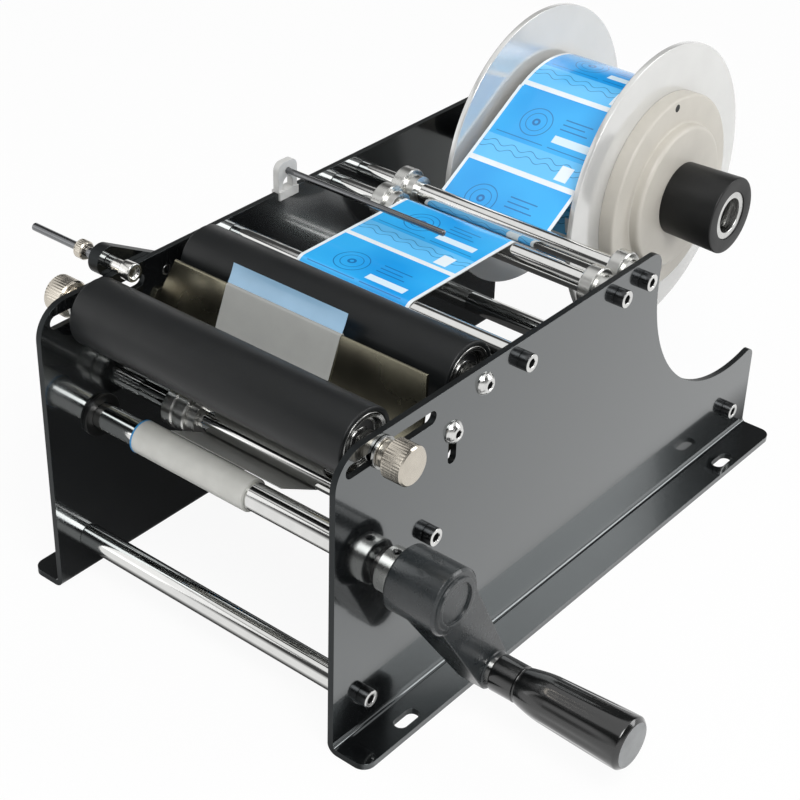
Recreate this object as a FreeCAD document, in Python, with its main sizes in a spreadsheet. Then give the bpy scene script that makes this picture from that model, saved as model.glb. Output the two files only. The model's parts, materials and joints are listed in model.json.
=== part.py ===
import FreeCAD, Part
import math
import os
import re

# Hand cranked bench machine that puts labels on round bottles, in millimetres.
# X runs across the machine towards the crank, Y from the bottle rollers back to the label reel, Z up.
# In this file Y is counted from the front edge of the side plates and X from the middle between them;
# the finished pieces are moved so that the origin is at the middle of the machine's bounding box, on the bench.

SIZES = {
    # side plates, folded from sheet steel
    "inside_width": 165.0,
    "plate_thickness": 3.0,
    "plate_height": 150.0,
    "plate_rear_margin": 23.2,
    "plate_front_radius": 16.0,
    "plate_rear_radius": 5.0,
    "bite_tip_radius": 8.0,
    "flange_width": 18.0,
    "flange_corner_radius": 6.0,
    "bend_radius": 2.0,
    # slots for bench bolts in the flanges
    "base_slot_width": 6.5,
    "base_slot_length": 14.0,
    "base_slot_inset": 11.5,
    "base_slot_front_y": 35.0,
    "base_slot_rear_inset": 40.0,
    # screws of 5 mm thread
    "screw_radius": 2.5,
    "cap_head_radius": 4.25,
    "cap_head_height": 5.0,
    "button_head_radius": 5.3,
    "button_head_height": 3.0,
    "hex_socket_width": 4.0,
    "hex_socket_depth": 2.2,
    "screw_engagement": 12.0,
    "screw_hole_clearance": 0.25,
    "thread_clearance": 0.05,
    "head_chamfer": 0.4,
    # cross rods
    "tie_rod_radius": 6.0,
    "front_tie_y": 18.7,
    "front_tie_z": 21.0,
    "rear_tie_inset": 22.3,
    "rear_tie_z": 21.7,
    "bar_radius": 5.0,
    "guide_bar_run": 72.6,
    "guide_bar_drop": 9.7,
    "guide_collar_gap": 0.5,
    "turning_bar_gap": 5.9,
    "liner_bar_setback": 13.1,
    "liner_bar_drop": 66.7,
    # bottle rollers
    "roller_radius": 15.8,
    "roller_end_gap": 5.5,
    "roller_drop": 9.0,
    "roller_spacing": 66.6,
    "front_roller_y": 27.6,
    "cover_thickness": 2.5,
    "cover_edge": 0.6,
    "roller_tube_wall": 2.3,
    "bearing_width": 7.0,
    "bearing_recess": 2.5,
    "bearing_shield_depth": 0.6,
    "axle_radius": 4.0,
    "axle_stud_radius": 3.0,
    "spacer_radius": 6.0,
    "roller_slot_width": 6.5,
    "roller_slot_front_reach": 21.6,
    "roller_slot_length": 56.0,
    "axle_washer_radius": 7.2,
    "axle_washer_thickness": 1.5,
    "thumb_nut_neck_radius": 6.0,
    "thumb_nut_neck_length": 4.0,
    "thumb_nut_radius": 8.7,
    "thumb_nut_length": 10.5,
    "thumb_nut_chamfer": 0.8,
    "thumb_nut_wall": 2.5,
    # peel plate
    "peel_edge_gap": 22.0,
    "peel_face_length": 48.0,
    "peel_lean_angle": 22.0,
    "peel_sheet": 1.5,
    "peel_screw_setback": 1.6,
    "peel_screw_drop": 23.0,
    "peel_cheek_depth": 8.0,
    "peel_slot_travel": 13.0,
    # label web, liner and reel
    "web_left": 40.0,
    "web_width": 66.0,
    "web_thickness": 0.4,
    "web_gap": 0.25,
    "peeled_label_length": 9.0,
    "peeled_label_lean_angle": 27.0,
    "reel_bar_gap": 11.8,
    "reel_drop": 18.6,
    "roll_radius": 51.5,
    "core_radius": 38.1,
    "core_wall": 4.0,
    "core_overhang": 1.0,
    "disc_radius": 76.0,
    "disc_thickness": 3.0,
    "left_disc_gap": 3.4,
    "right_disc_gap": 0.4,
    "bite_clearance": 7.5,
    "reel_shaft_radius": 6.0,
    "reel_shaft_end_x": 67.0,
    "reel_spigot_radius": 10.0,
    "reel_bearing_length": 22.0,
    "reel_bearing_radius": 12.0,
    "reel_bearing_flange_radius": 18.0,
    "reel_bearing_flange": 4.0,
    "reel_collar_radius": 11.0,
    "reel_collar_length": 8.0,
    "drum_length": 22.0,
    "hub_step_radius": 52.0,
    "hub_step_length": 8.0,
    "hub_small_radius": 37.5,
    "hub_small_length": 5.7,
    "hub_spigot_length": 20.0,
    "hub_edge_radius": 1.5,
    "hub_hole_radius": 1.8,
    "hub_hole_ring": 47.7,
    "hub_hole_angle": 92.6,
    "hub_hole_depth": 6.0,
    "reel_cap_root_radius": 18.8,
    "reel_cap_radius": 19.85,
    "reel_cap_length": 30.0,
    "reel_cap_bore_radius": 12.5,
    "cap_bore_depth": 12.0,
    "cap_ring_wall": 3.5,
    "cap_ring_inset": 0.5,
    "cap_edge": 1.5,
    # take-up shaft and crank
    "take_up_gap": 28.7,
    "take_up_z": 83.4,
    "take_up_radius": 6.5,
    "shaft_overhang": 0.5,
    "liner_roll_radius": 8.0,
    "liner_roll_reach": 21.0,
    "liner_roll_extra": 8.0,
    "bush_radius": 8.5,
    "bush_flange_radius": 10.5,
    "bush_flange": 2.0,
    "crank_collar_gap": 2.5,
    "crank_collar_length": 9.0,
    "crank_collar_radius": 10.25,
    "crank_hub_radius": 15.0,
    "crank_hub_length": 26.0,
    "crank_shaft_depth": 21.0,
    "crank_edge": 1.0,
    "crank_ring_radius": 12.0,
    "crank_ring_wall": 2.5,
    "crank_ring_height": 1.0,
    "crank_throw": 63.5,
    "crank_rest_angle": -60.7,
    "crank_arm_end_radius": 9.5,
    "crank_arm_root_width": 25.0,
    "crank_arm_root_thickness": 24.0,
    "crank_arm_tip_thickness": 13.0,
    "spindle_radius": 4.0,
    "spindle_shoulder_radius": 6.0,
    "spindle_depth": 10.0,
    "grip_gap": 2.0,
    "grip_length": 68.0,
    "grip_neck_radius": 8.5,
    "grip_neck_length": 12.0,
    "grip_groove_depth": 0.8,
    "grip_groove_width": 1.2,
    "grip_swell_radius": 10.8,
    "grip_swell_length": 16.0,
    "grip_end_radius": 12.2,
    "grip_end_chamfer": 1.8,
    "grip_wall": 6.0,
    # guide collars, each with a 4 mm set screw
    "collar_flange_radius": 10.0,
    "collar_flange_width": 7.0,
    "collar_hub_radius": 7.75,
    "collar_hub_width": 5.0,
    "collar_chamfer": 0.6,
    "liner_collar_flange_width": 14.0,
    "liner_collar_groove_width": 1.2,
    "liner_collar_groove_depth": 0.8,
    "front_left_collar_reach": 13.5,
    "rear_left_collar_reach": 17.5,
    "front_right_collar_inset": 13.5,
    "rear_right_collar_inset": 12.5,
    "liner_collar_reach": 23.0,
    "set_screw_radius": 2.0,
    "set_screw_length": 2.6,
    "set_screw_socket_width": 2.0,
    "set_screw_socket_depth": 1.5,
    # pointer on the left plate's top edge
    "pointer_bar_gap": 36.0,
    "pointer_rise": 10.3,
    "pointer_post_width": 13.0,
    "pointer_post_depth": 3.4,
    "pointer_post_height": 15.2,
    "pointer_post_corner": 4.0,
    "pointer_window_width": 6.6,
    "pointer_window_height": 7.2,
    "pointer_foot_depth": 5.6,
    "pointer_foot_height": 3.5,
    "pointer_foot_lip": 0.9,
    "pointer_rod_radius": 1.5,
    "pointer_rod_length": 99.0,
    "pointer_rod_tail": 2.0,
    # bottle stop beside the left plate
    "stop_setback": 16.9,
    "stop_rise": 5.5,
    "stop_arm_thickness": 6.0,
    "stop_end_radius": 7.0,
    "stop_pivot_gap": 18.2,
    "stop_pivot_drop": 10.5,
    "stop_pivot_radius": 6.0,
    "stop_rod_radius": 2.5,
    "stop_thread_radius": 1.9,
    "stop_rod_extent": 49.0,
    "stop_tip_neck_radius": 3.2,
    "stop_tip_neck_length": 9.5,
    "stop_tip_radius": 4.4,
    "stop_tip_length": 6.5,
    "stop_tip_edge": 0.5,
    "stop_tip_socket": 13.0,
    "stop_nut_reach": 19.1,
    "stop_nut_radius": 4.4,
    "stop_nut_length": 5.2,
    # clearances shared by the fits
    "slide_gap": 0.1,
    "running_clearance": 0.05,
    "press_gap": 0.02,
}

# Places that follow from the sizes, in the order in which the label web and the pieces along it are laid out.
LAYOUT = {
    "roller_length": "inside_width - 2 * roller_end_gap",
    "roller_z": "plate_height - roller_drop",
    "rear_roller_y": "front_roller_y + roller_spacing",
    "roller_slot_front_y": "front_roller_y - roller_slot_front_reach",
    "peel_edge_y": "rear_roller_y - peel_edge_gap",
    "peel_edge_z": "plate_height",
    "peel_screw_y": "peel_edge_y + peel_screw_setback",
    "peel_screw_z": "plate_height - peel_screw_drop",
    "liner_bar_y": "peel_edge_y - liner_bar_setback",
    "liner_bar_z": "plate_height - liner_bar_drop",
    "take_up_y": "liner_bar_y - take_up_gap",
    "turning_bar_y": "rear_roller_y + roller_radius + bar_radius + turning_bar_gap",
    "guide_bar_y": "turning_bar_y + guide_bar_run",
    "guide_bar_z": "plate_height - guide_bar_drop",
    "guide_bar_spacing": "2 * collar_flange_radius + guide_collar_gap",
    "reel_y": "guide_bar_y + guide_bar_spacing + collar_flange_radius + reel_bar_gap + disc_radius",
    "reel_z": "plate_height - reel_drop",
    "plate_length": "reel_y + plate_rear_margin",
    "rear_tie_y": "plate_length - rear_tie_inset",
    "base_slot_spacing": "plate_length - base_slot_rear_inset - base_slot_front_y",
    "left_disc_x": "web_left + core_overhang + left_disc_gap",
    "right_disc_x": "web_width - web_left + core_overhang + right_disc_gap",
    "liner_roll_start_x": "-(web_left + liner_roll_reach)",
    "liner_roll_length": "web_width + liner_roll_extra",
    "front_left_collar_x": "-(web_left + front_left_collar_reach)",
    "rear_left_collar_x": "-(web_left + rear_left_collar_reach)",
    "front_right_collar_x": "inside_width / 2 - front_right_collar_inset",
    "rear_right_collar_x": "inside_width / 2 - rear_right_collar_inset",
    "liner_collar_x": "-(web_left + liner_collar_reach)",
    "pointer_y": "guide_bar_y - pointer_bar_gap",
    "pointer_z": "plate_height + pointer_rise",
    "stop_y": "front_roller_y + stop_setback",
    "stop_z": "plate_height + stop_rise",
    "stop_pivot_y": "rear_roller_y - stop_pivot_gap",
    "stop_pivot_z": "plate_height - stop_pivot_drop",
    "stop_rod_reach": "inside_width / 2 + plate_thickness + stop_rod_extent",
    "stop_nut_x": "-(inside_width / 2 + plate_thickness + stop_nut_reach)",
}

doc = FreeCAD.newDocument("bottle_labeling_machine")
sheet = doc.addObject("Spreadsheet::Sheet", "sizes")
cells = {**SIZES, **{name: f"={text}" for name, text in LAYOUT.items()}}
for row, (name, content) in enumerate(cells.items(), start=1):
    sheet.set(f"A{row}", name)
    sheet.set(f"B{row}", str(content))
    sheet.setAlias(f"B{row}", name)
doc.recompute()

WORD = re.compile(r"[a-z_][a-z0-9_]*")
NODES = []


def formula(text):
    """Points each name of a size in an expression at its cell."""
    return WORD.sub(lambda word: "sizes." + word[0] if word[0] in cells else word[0], str(text))


def number(text):
    """The present value of an expression."""
    return float(sheet.evalExpression(formula(text)))


def bind(item, **properties):
    """Ties an object's properties to expressions of the sheet's cells."""
    for name, text in properties.items():
        item.setExpression(name, formula(text))
    return item


# Faces and ends that several pieces share, as expressions.
INNER = "inside_width / 2"
OUTER = "(inside_width / 2 + plate_thickness)"
REAR_BAR_Y = "(guide_bar_y + guide_bar_spacing)"
BEARING_FACE = "(roller_length / 2 - bearing_recess)"
TUBE_RADIUS = "(roller_radius - cover_thickness)"
BEARING_RADIUS = "(roller_radius - cover_thickness - roller_tube_wall)"
COLLAR_FACE = f"({OUTER} + crank_collar_gap)"
HUB_FACE = f"({COLLAR_FACE} + crank_collar_length)"
ARM_FACE = f"({HUB_FACE} + crank_hub_length)"
GRIP_FACE = f"({ARM_FACE} + grip_gap)"
GRIP_END = f"({GRIP_FACE} + grip_length)"
HUB_STEP_X = "(right_disc_x + disc_thickness)"
HUB_SMALL_X = f"({HUB_STEP_X} + hub_step_length)"
CAP_X = f"({HUB_SMALL_X} + hub_small_length)"
HOLE_RADIUS = "(screw_radius + screw_hole_clearance)"
THREAD_RADIUS = "(screw_radius + thread_clearance)"
ORIGIN_X = f"(({GRIP_END} - stop_rod_reach) / 2)"
ORIGIN_Y = "((reel_y + disc_radius) / 2)"

CRANK_ANGLE = math.radians(number("crank_rest_angle"))
GRIP_Y = number(f"take_up_y + crank_throw * {math.cos(CRANK_ANGLE)}")
GRIP_Z = number(f"take_up_z + crank_throw * {math.sin(CRANK_ANGLE)}")

Y_AXIS = FreeCAD.Vector(0, 1, 0)
X_AXIS = FreeCAD.Vector(1, 0, 0)
TURNS = {
    "+x": FreeCAD.Rotation(Y_AXIS, 90),
    "-x": FreeCAD.Rotation(Y_AXIS, -90),
    "+y": FreeCAD.Rotation(X_AXIS, -90),
    "-y": FreeCAD.Rotation(X_AXIS, 90),
    "+z": FreeCAD.Rotation(),
    "-z": FreeCAD.Rotation(X_AXIS, 180),
}


def place(item, x, y, z, axis="+z"):
    """Sets an object at a point of the machine with its own Z along the named axis."""
    item.Placement = FreeCAD.Placement(FreeCAD.Vector(), TURNS[axis])
    item.setExpression("Placement.Base.x", formula(f"({x}) - {ORIGIN_X}"))
    item.setExpression("Placement.Base.y", formula(f"({y}) - {ORIGIN_Y}"))
    item.setExpression("Placement.Base.z", formula(z))
    return item


def offset(item, distance):
    """Moves a step of a turned piece along the piece's own axis."""
    item.setExpression("Placement.Base.z", formula(distance))
    return item


def cylinder(name, radius, length):
    return bind(doc.addObject("Part::Cylinder", name), Radius=radius, Height=length)


def box(name, size_x, size_y, size_z):
    return bind(doc.addObject("Part::Box", name), Length=size_x, Width=size_y, Height=size_z)


def prism(name, width, length):
    """A hexagonal prism of the given width across flats."""
    item = doc.addObject("Part::Prism", name)
    item.Polygon = 6
    return bind(item, Circumradius=f"({width}) / sqrt(3)", Height=length)


def fuse(name, pieces):
    item = doc.addObject("Part::MultiFuse", name)
    item.Shapes = pieces
    item.Refine = True
    return item


def cut(name, base, tools):
    """Takes one or more tools away from a base."""
    item = doc.addObject("Part::Cut", name)
    item.Base = base
    item.Tool = tools[0] if len(tools) == 1 else fuse(name + "_tools", tools)
    item.Refine = True
    return item


def group(name, pieces):
    """Several separate solids that share one node."""
    item = doc.addObject("Part::Compound", name)
    item.Links = pieces
    return item


def node(item, label):
    """Names a finished sub-part."""
    item.Label = label
    NODES.append(item)
    return item


def shaped(label, shape):
    """A sub-part whose shape is worked out below, moved into the finished frame."""
    item = doc.addObject("Part::Feature", label)
    item.Shape = shape
    item.Placement = FreeCAD.Placement(
        FreeCAD.Vector(-number(ORIGIN_X), -number(ORIGIN_Y), 0), FreeCAD.Rotation())
    return item


def turned(name, steps, bores=(), start="0"):
    """A turned piece along its own Z: steps of (start radius, end radius, length), then bores of
    (radius, start, length)."""
    pieces = []
    at = start
    for index, (first, last, length) in enumerate(steps):
        if first == last:
            step = cylinder(f"{name}_step{index}", first, length)
        else:
            step = doc.addObject("Part::Cone", f"{name}_step{index}")
            bind(step, Radius1=first, Radius2=last, Height=length)
        pieces.append(offset(step, at))
        at = f"{at} + {length}"
    body = pieces[0] if len(pieces) == 1 else fuse(f"{name}_turned", pieces)
    tools = []
    for index, (radius, begin, length) in enumerate(bores):
        tools.append(offset(cylinder(f"{name}_bore{index}", radius, length), begin))
    return cut(f"{name}_bored", body, tools) if tools else body


def chamfered(radius, length, edge):
    """Steps of a plain turned length with both ends chamfered."""
    return [(f"{radius} - {edge}", radius, edge), (radius, radius, f"{length} - 2 * {edge}"),
            (radius, f"{radius} - {edge}", edge)]


def screw(name, head_radius, head_height, shank_length, domed=False):
    """A socket screw along its own Z, with the underside of the head at zero and the head upwards."""
    if domed:
        head = [(head_radius, head_radius, f"{head_height} * 0.3"),
                (head_radius, f"{head_radius} * 0.62", f"{head_height} * 0.7")]
    else:
        head = [(head_radius, head_radius, f"{head_height} - head_chamfer"),
                (head_radius, f"{head_radius} - head_chamfer", "head_chamfer")]
    body = turned(name, [("screw_radius", "screw_radius", shank_length)] + head, start=f"-({shank_length})")
    socket = prism(f"{name}_socket", "hex_socket_width", "hex_socket_depth")
    offset(socket, f"{head_height} - hex_socket_depth")
    return cut(f"{name}_screw", body, [socket])


def slot(name, width, travel, depth):
    """A round-ended slot tool along its own Z, its length along its own X, centred on its first end's arc."""
    first = cylinder(f"{name}_first", f"({width}) / 2", depth)
    last = cylinder(f"{name}_last", f"({width}) / 2", depth)
    last.setExpression("Placement.Base.x", formula(travel))
    middle = box(f"{name}_middle", travel, width, depth)
    middle.setExpression("Placement.Base.y", formula(f"-({width}) / 2"))
    return fuse(name, [first, last, middle])


def rounded(name, base, picks):
    """Rounds the edge nearest to each (point, radius); the points are in the machine's own X, Y, Z."""
    doc.recompute()
    shift = FreeCAD.Vector(number(ORIGIN_X), number(ORIGIN_Y), 0)
    middles = [edge.CenterOfMass + shift for edge in base.Shape.Edges]
    edges = []
    for point, radius in picks:
        target = FreeCAD.Vector(*point)
        nearest = min(range(len(middles)), key=lambda index: (middles[index] - target).Length)
        edges.append((nearest + 1, radius, radius))
    item = doc.addObject("Part::Fillet", name)
    item.Base = base
    item.Edges = edges
    return item


# Side plates: one folded blank, mirrored for the left hand side. The wall stands on an outward flange.
BEND_OUTER = "(bend_radius + plate_thickness)"


def plate_blank(name):
    wall = box(f"{name}_wall", "plate_thickness", "plate_length", f"plate_height - {BEND_OUTER}")
    place(wall, INNER, "0", BEND_OUTER)
    flange = box(f"{name}_flange", f"plate_thickness + flange_width - {BEND_OUTER}", "plate_length",
                 "plate_thickness")
    place(flange, f"{INNER} + {BEND_OUTER}", "0", "0")
    fold = cylinder(f"{name}_fold", BEND_OUTER, "plate_length")
    fold.Angle = 90
    hollow = cylinder(f"{name}_hollow", "bend_radius", "plate_length")
    for item in (fold, hollow):
        place(item, f"{INNER} + {BEND_OUTER}", "0", BEND_OUTER)
        item.Placement = FreeCAD.Placement(item.Placement.Base, FreeCAD.Rotation(
            FreeCAD.Vector(0, 0, -1), FreeCAD.Vector(-1, 0, 0), Y_AXIS, "ZXY"))
    return fuse(name, [wall, flange, cut(f"{name}_bend", fold, [hollow])])


def wall_holes(name, side):
    """Tools for every hole in one side plate; side is 1 on the right and -1 on the left."""
    start = INNER if side > 0 else f"-{OUTER}"
    start = f"{start} - 1"
    depth = "plate_thickness + 2"
    holes = [
        ("front_tie", HOLE_RADIUS, "front_tie_y", "front_tie_z"),
        ("rear_tie", HOLE_RADIUS, "rear_tie_y", "rear_tie_z"),
        ("front_guide", HOLE_RADIUS, "guide_bar_y", "guide_bar_z"),
        ("rear_guide", HOLE_RADIUS, REAR_BAR_Y, "guide_bar_z"),
        ("turning", HOLE_RADIUS, "turning_bar_y", "guide_bar_z"),
        ("liner", HOLE_RADIUS, "liner_bar_y", "liner_bar_z"),
        ("roller", HOLE_RADIUS, "rear_roller_y", "roller_z"),
        ("take_up", "bush_radius + press_gap", "take_up_y", "take_up_z"),
    ]
    if side < 0:
        holes.append(("reel", "reel_spigot_radius + press_gap", "reel_y", "reel_z"))
        holes.append(("stop", HOLE_RADIUS, "stop_pivot_y", "stop_pivot_z"))
    tools = []
    for label, radius, y, z in holes:
        tools.append(place(cylinder(f"{name}_{label}", radius, depth), start, y, z, "+x"))
    roller_slot = slot(f"{name}_roller_slot", "roller_slot_width",
                       "roller_slot_length - roller_slot_width", depth)
    place(roller_slot, start, "roller_slot_front_y + roller_slot_width / 2", "roller_z", "+x")
    roller_slot.Placement = FreeCAD.Placement(roller_slot.Placement.Base, FreeCAD.Rotation(
        FreeCAD.Vector(0, 1, 0), FreeCAD.Vector(0, 0, 1), X_AXIS, "ZXY"))
    peel_slot = slot(f"{name}_peel_slot", f"2 * {HOLE_RADIUS}", "peel_slot_travel", depth)
    place(peel_slot, start, "peel_screw_y", "peel_screw_z", "+x")
    return tools + [roller_slot, peel_slot]


def flange_slots(name, side):
    tools = []
    for index, y in enumerate(("base_slot_front_y", "base_slot_front_y + base_slot_spacing")):
        tool = slot(f"{name}_base_slot{index}", "base_slot_width", "base_slot_length - base_slot_width",
                    "plate_thickness + 2")
        place(tool, f"{side} * ({OUTER} + base_slot_inset)",
              f"{y} - (base_slot_length - base_slot_width) / 2", "-1")
        tool.Placement = FreeCAD.Placement(tool.Placement.Base, FreeCAD.Rotation(FreeCAD.Vector(0, 0, 1), 90))
        tools.append(tool)
    return tools


right_blank = plate_blank("right_blank")
left_blank = doc.addObject("Part::Mirroring", "left_blank")
left_blank.Source = plate_blank("left_source")
left_blank.Normal = X_AXIS
left_blank.setExpression("Base.x", formula(f"-{ORIGIN_X}"))

bite = place(cylinder("bite", "disc_radius + bite_clearance", "plate_thickness + 2"), f"{INNER} - 1",
             "reel_y", "reel_z", "+x")
right_cut = cut("right_cut", right_blank, wall_holes("right", 1) + flange_slots("right", 1) + [bite])
left_cut = cut("left_cut", left_blank, wall_holes("left", -1) + flange_slots("left", -1))

plate_middle = number(f"{INNER} + plate_thickness / 2")
flange_edge = number(f"{OUTER} + flange_width")
half_sheet = number("plate_thickness / 2")
plate_top = number("plate_height")
plate_end = number("plate_length")
bite_radius = number("disc_radius + bite_clearance")
tip_y = number("reel_y") - math.sqrt(bite_radius ** 2 - (plate_top - number("reel_z")) ** 2)
heel_z = number("reel_z") - math.sqrt(bite_radius ** 2 - (plate_end - number("reel_y")) ** 2)
flange_radius = number("flange_corner_radius")
front_radius = number("plate_front_radius")
rear_radius = number("plate_rear_radius")

right_plate = rounded("right_plate", right_cut, [
    ((plate_middle, 0, plate_top), front_radius),
    ((plate_middle, tip_y, plate_top), number("bite_tip_radius")),
    ((plate_middle, plate_end, heel_z), rear_radius),
    ((flange_edge, 0, half_sheet), flange_radius),
    ((flange_edge, plate_end, half_sheet), flange_radius),
])
node(right_plate, "right_side_plate")
left_plate = rounded("left_plate", left_cut, [
    ((-plate_middle, 0, plate_top), front_radius),
    ((-plate_middle, plate_end, plate_top), rear_radius),
    ((-flange_edge, 0, half_sheet), flange_radius),
    ((-flange_edge, plate_end, half_sheet), flange_radius),
])
node(left_plate, "left_side_plate")


# Cross rods: plain round bars with a threaded hole in each end, seated between the plates.
def cross_bar(name, radius, y, z):
    depth = "screw_engagement + 1"
    bar = turned(name, [(radius, radius, "inside_width")],
                 [(THREAD_RADIUS, "0", depth), (THREAD_RADIUS, f"inside_width - ({depth})", depth)])
    return place(bar, f"-{INNER}", y, z, "+x")


BARS = {
    "front_guide_bar": ("bar_radius", "guide_bar_y", "guide_bar_z"),
    "rear_guide_bar": ("bar_radius", REAR_BAR_Y, "guide_bar_z"),
    "turning_bar": ("bar_radius", "turning_bar_y", "guide_bar_z"),
    "liner_guide_bar": ("bar_radius", "liner_bar_y", "liner_bar_z"),
}
TIES = {
    "front_tie": ("tie_rod_radius", "front_tie_y", "front_tie_z"),
    "rear_tie": ("tie_rod_radius", "rear_tie_y", "rear_tie_z"),
}
for label, (radius, y, z) in BARS.items():
    node(cross_bar(label, radius, y, z), label)
node(group("ties", [cross_bar(label, *sizes) for label, sizes in TIES.items()]), "tie_rods")


def screws_through(name, y, z, head_radius, head_height, shank, domed=False, gap="0"):
    """A screw through each side plate, heads outwards."""
    pair = []
    for side, turn, axis in (("right", 1, "+x"), ("left", -1, "-x")):
        item = screw(f"{name}_{side}", head_radius, head_height, shank, domed)
        pair.append(place(item, f"{turn} * ({OUTER} + {gap})", y, z, axis))
    return pair


cap_screws = []
for label, (radius, y, z) in {**BARS, **TIES}.items():
    cap_screws += screws_through(f"{label}_screw", y, z, "cap_head_radius", "cap_head_height",
                                 "plate_thickness + screw_engagement")
node(group("cap_screws", cap_screws), "bar_end_screws")


# Bottle rollers: a rubber cover on a steel tube, turning on a ball bearing in each end.
def roller(name, y):
    half = "roller_length / 2"
    cover = turned(f"{name}_cover", chamfered("roller_radius", "roller_length", "cover_edge"),
                   [(f"{TUBE_RADIUS} + press_gap", "0", "roller_length")])
    tube = turned(f"{name}_tube", [(TUBE_RADIUS, TUBE_RADIUS, "roller_length")],
                  [(BEARING_RADIUS, "0", "roller_length")])
    bearings = []
    for side, start in (("left", f"-{BEARING_FACE}"), ("right", f"{BEARING_FACE} - bearing_width")):
        ring = turned(f"{name}_{side}_bearing",
                      [(f"{BEARING_RADIUS} - press_gap", f"{BEARING_RADIUS} - press_gap", "bearing_width")],
                      [("axle_radius + running_clearance", "0", "bearing_width")])
        shields = []
        for index, begin in enumerate(("0", "bearing_width - bearing_shield_depth")):
            shield = turned(f"{name}_{side}_shield{index}",
                            [(f"{BEARING_RADIUS} - 2", f"{BEARING_RADIUS} - 2", "bearing_shield_depth")],
                            [("axle_radius + 2", begin, "bearing_shield_depth")], start=begin)
            shields.append(shield)
        bearings.append(place(cut(f"{name}_{side}_sealed", ring, shields), start, y, "roller_z", "+x"))
    node(place(cover, f"-{half}", y, "roller_z", "+x"), f"{name}_cover")
    node(place(tube, f"-{half}", y, "roller_z", "+x"), f"{name}_tube")
    node(group(f"{name}_pair", bearings), f"{name}_bearings")


def spacers(name, y, gap):
    """A sleeve on the axle between each bearing and its side plate."""
    pair = []
    length = f"{INNER} - {BEARING_FACE} - {gap}"
    for side, start in (("left", f"-({INNER} - {gap})"), ("right", BEARING_FACE)):
        sleeve = turned(f"{name}_{side}", [("spacer_radius", "spacer_radius", length)],
                        [("axle_radius + running_clearance", "0", length)])
        pair.append(place(sleeve, start, y, "roller_z", "+x"))
    return group(f"{name}_group", pair)


roller("rear_roller", "rear_roller_y")
node(cross_bar("rear_axle", "axle_radius", "rear_roller_y", "roller_z"), "rear_roller_axle")
node(spacers("rear_spacer", "rear_roller_y", "0"), "rear_roller_spacers")

roller("front_roller", "front_roller_y")
AXLE_HALF = f"({INNER} - slide_gap)"
WASHER_FACE = f"({OUTER} + slide_gap)"
NUT_FACE = f"({WASHER_FACE} + axle_washer_thickness + running_clearance)"
STUD = f"({NUT_FACE} + thumb_nut_neck_length + thumb_nut_length - thumb_nut_wall - 1 - {AXLE_HALF})"
front_axle = turned("front_axle", [("axle_stud_radius", "axle_stud_radius", STUD),
                                   ("axle_radius", "axle_radius", f"2 * {AXLE_HALF}"),
                                   ("axle_stud_radius", "axle_stud_radius", STUD)])
node(place(front_axle, f"-{AXLE_HALF} - {STUD}", "front_roller_y", "roller_z", "+x"), "front_roller_axle")
node(spacers("front_spacer", "front_roller_y", "slide_gap"), "front_roller_spacers")

washers = []
for side, start in (("left", f"-{WASHER_FACE} - axle_washer_thickness"), ("right", WASHER_FACE)):
    washer = turned(f"{side}_washer", [("axle_washer_radius", "axle_washer_radius", "axle_washer_thickness")],
                    [("axle_stud_radius + running_clearance", "0", "axle_washer_thickness")])
    washers.append(place(washer, start, "front_roller_y", "roller_z", "+x"))
node(group("axle_washers", washers), "front_roller_washers")

# Thumb nuts: blind, so that the outer face is plain; they clamp the front roller's axle in its slots.
for side, axis in ((1, "+x"), (-1, "-x")):
    label = "right_thumb_nut" if side > 0 else "left_thumb_nut"
    nut = turned(label, [
        ("thumb_nut_neck_radius", "thumb_nut_neck_radius", "thumb_nut_neck_length"),
        ("thumb_nut_radius - thumb_nut_chamfer", "thumb_nut_radius", "thumb_nut_chamfer"),
        ("thumb_nut_radius", "thumb_nut_radius", "thumb_nut_length - 2 * thumb_nut_chamfer"),
        ("thumb_nut_radius", "thumb_nut_radius - thumb_nut_chamfer", "thumb_nut_chamfer"),
    ], [("axle_stud_radius + running_clearance", "0",
         "thumb_nut_neck_length + thumb_nut_length - thumb_nut_wall")])
    node(place(nut, f"{side} * {NUT_FACE}", "front_roller_y", "roller_z", axis), label)


# Paths of the web are chains of circles in the Y, Z plane: (y, z, radius), the radius positive where the
# web turns left around its circle and negative where it turns right.
def tangent(first, last):
    """Where the straight run between two circles leaves the first and meets the last."""
    run_y = last[0] - first[0]
    run_z = last[1] - first[1]
    rise = (last[2] - first[2]) / math.hypot(run_y, run_z)
    heading = math.atan2(run_z, run_y) - math.asin(max(-1.0, min(1.0, rise)))
    normal_y = -math.sin(heading)
    normal_z = math.cos(heading)
    leave = (first[0] - first[2] * normal_y, first[1] - first[2] * normal_z)
    meet = (last[0] - last[2] * normal_y, last[1] - last[2] * normal_z)
    return leave, meet, heading


def side_line(chain, shift, x):
    """One side of a strip along a chain of circles, as edges from its start to its end, in the plane of x."""
    moved = [(y, z, radius + shift) for y, z, radius in chain]
    edges = []
    last_point = None
    last_heading = None
    for index in range(len(chain) - 1):
        leave, meet, heading = tangent(chain[index], chain[index + 1])
        if last_heading is not None:
            way = math.copysign(1.0, chain[index][2])
            heading = last_heading + way * ((heading - last_heading) * way % (2 * math.pi))
        normal = (-math.sin(heading) * shift, math.cos(heading) * shift)
        start = FreeCAD.Vector(x, leave[0] - normal[0], leave[1] - normal[1])
        end = FreeCAD.Vector(x, meet[0] - normal[0], meet[1] - normal[1])
        if last_point is not None and (start - last_point).Length > 1e-6:
            y, z, radius = moved[index]
            middle_heading = (last_heading + heading) / 2
            middle = FreeCAD.Vector(x, y + radius * math.sin(middle_heading),
                                    z - radius * math.cos(middle_heading))
            edges.append(Part.Arc(last_point, middle, start).toShape())
        if (end - start).Length > 1e-6:
            edges.append(Part.LineSegment(start, end).toShape())
        last_point = end
        last_heading = heading
    return edges


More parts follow.
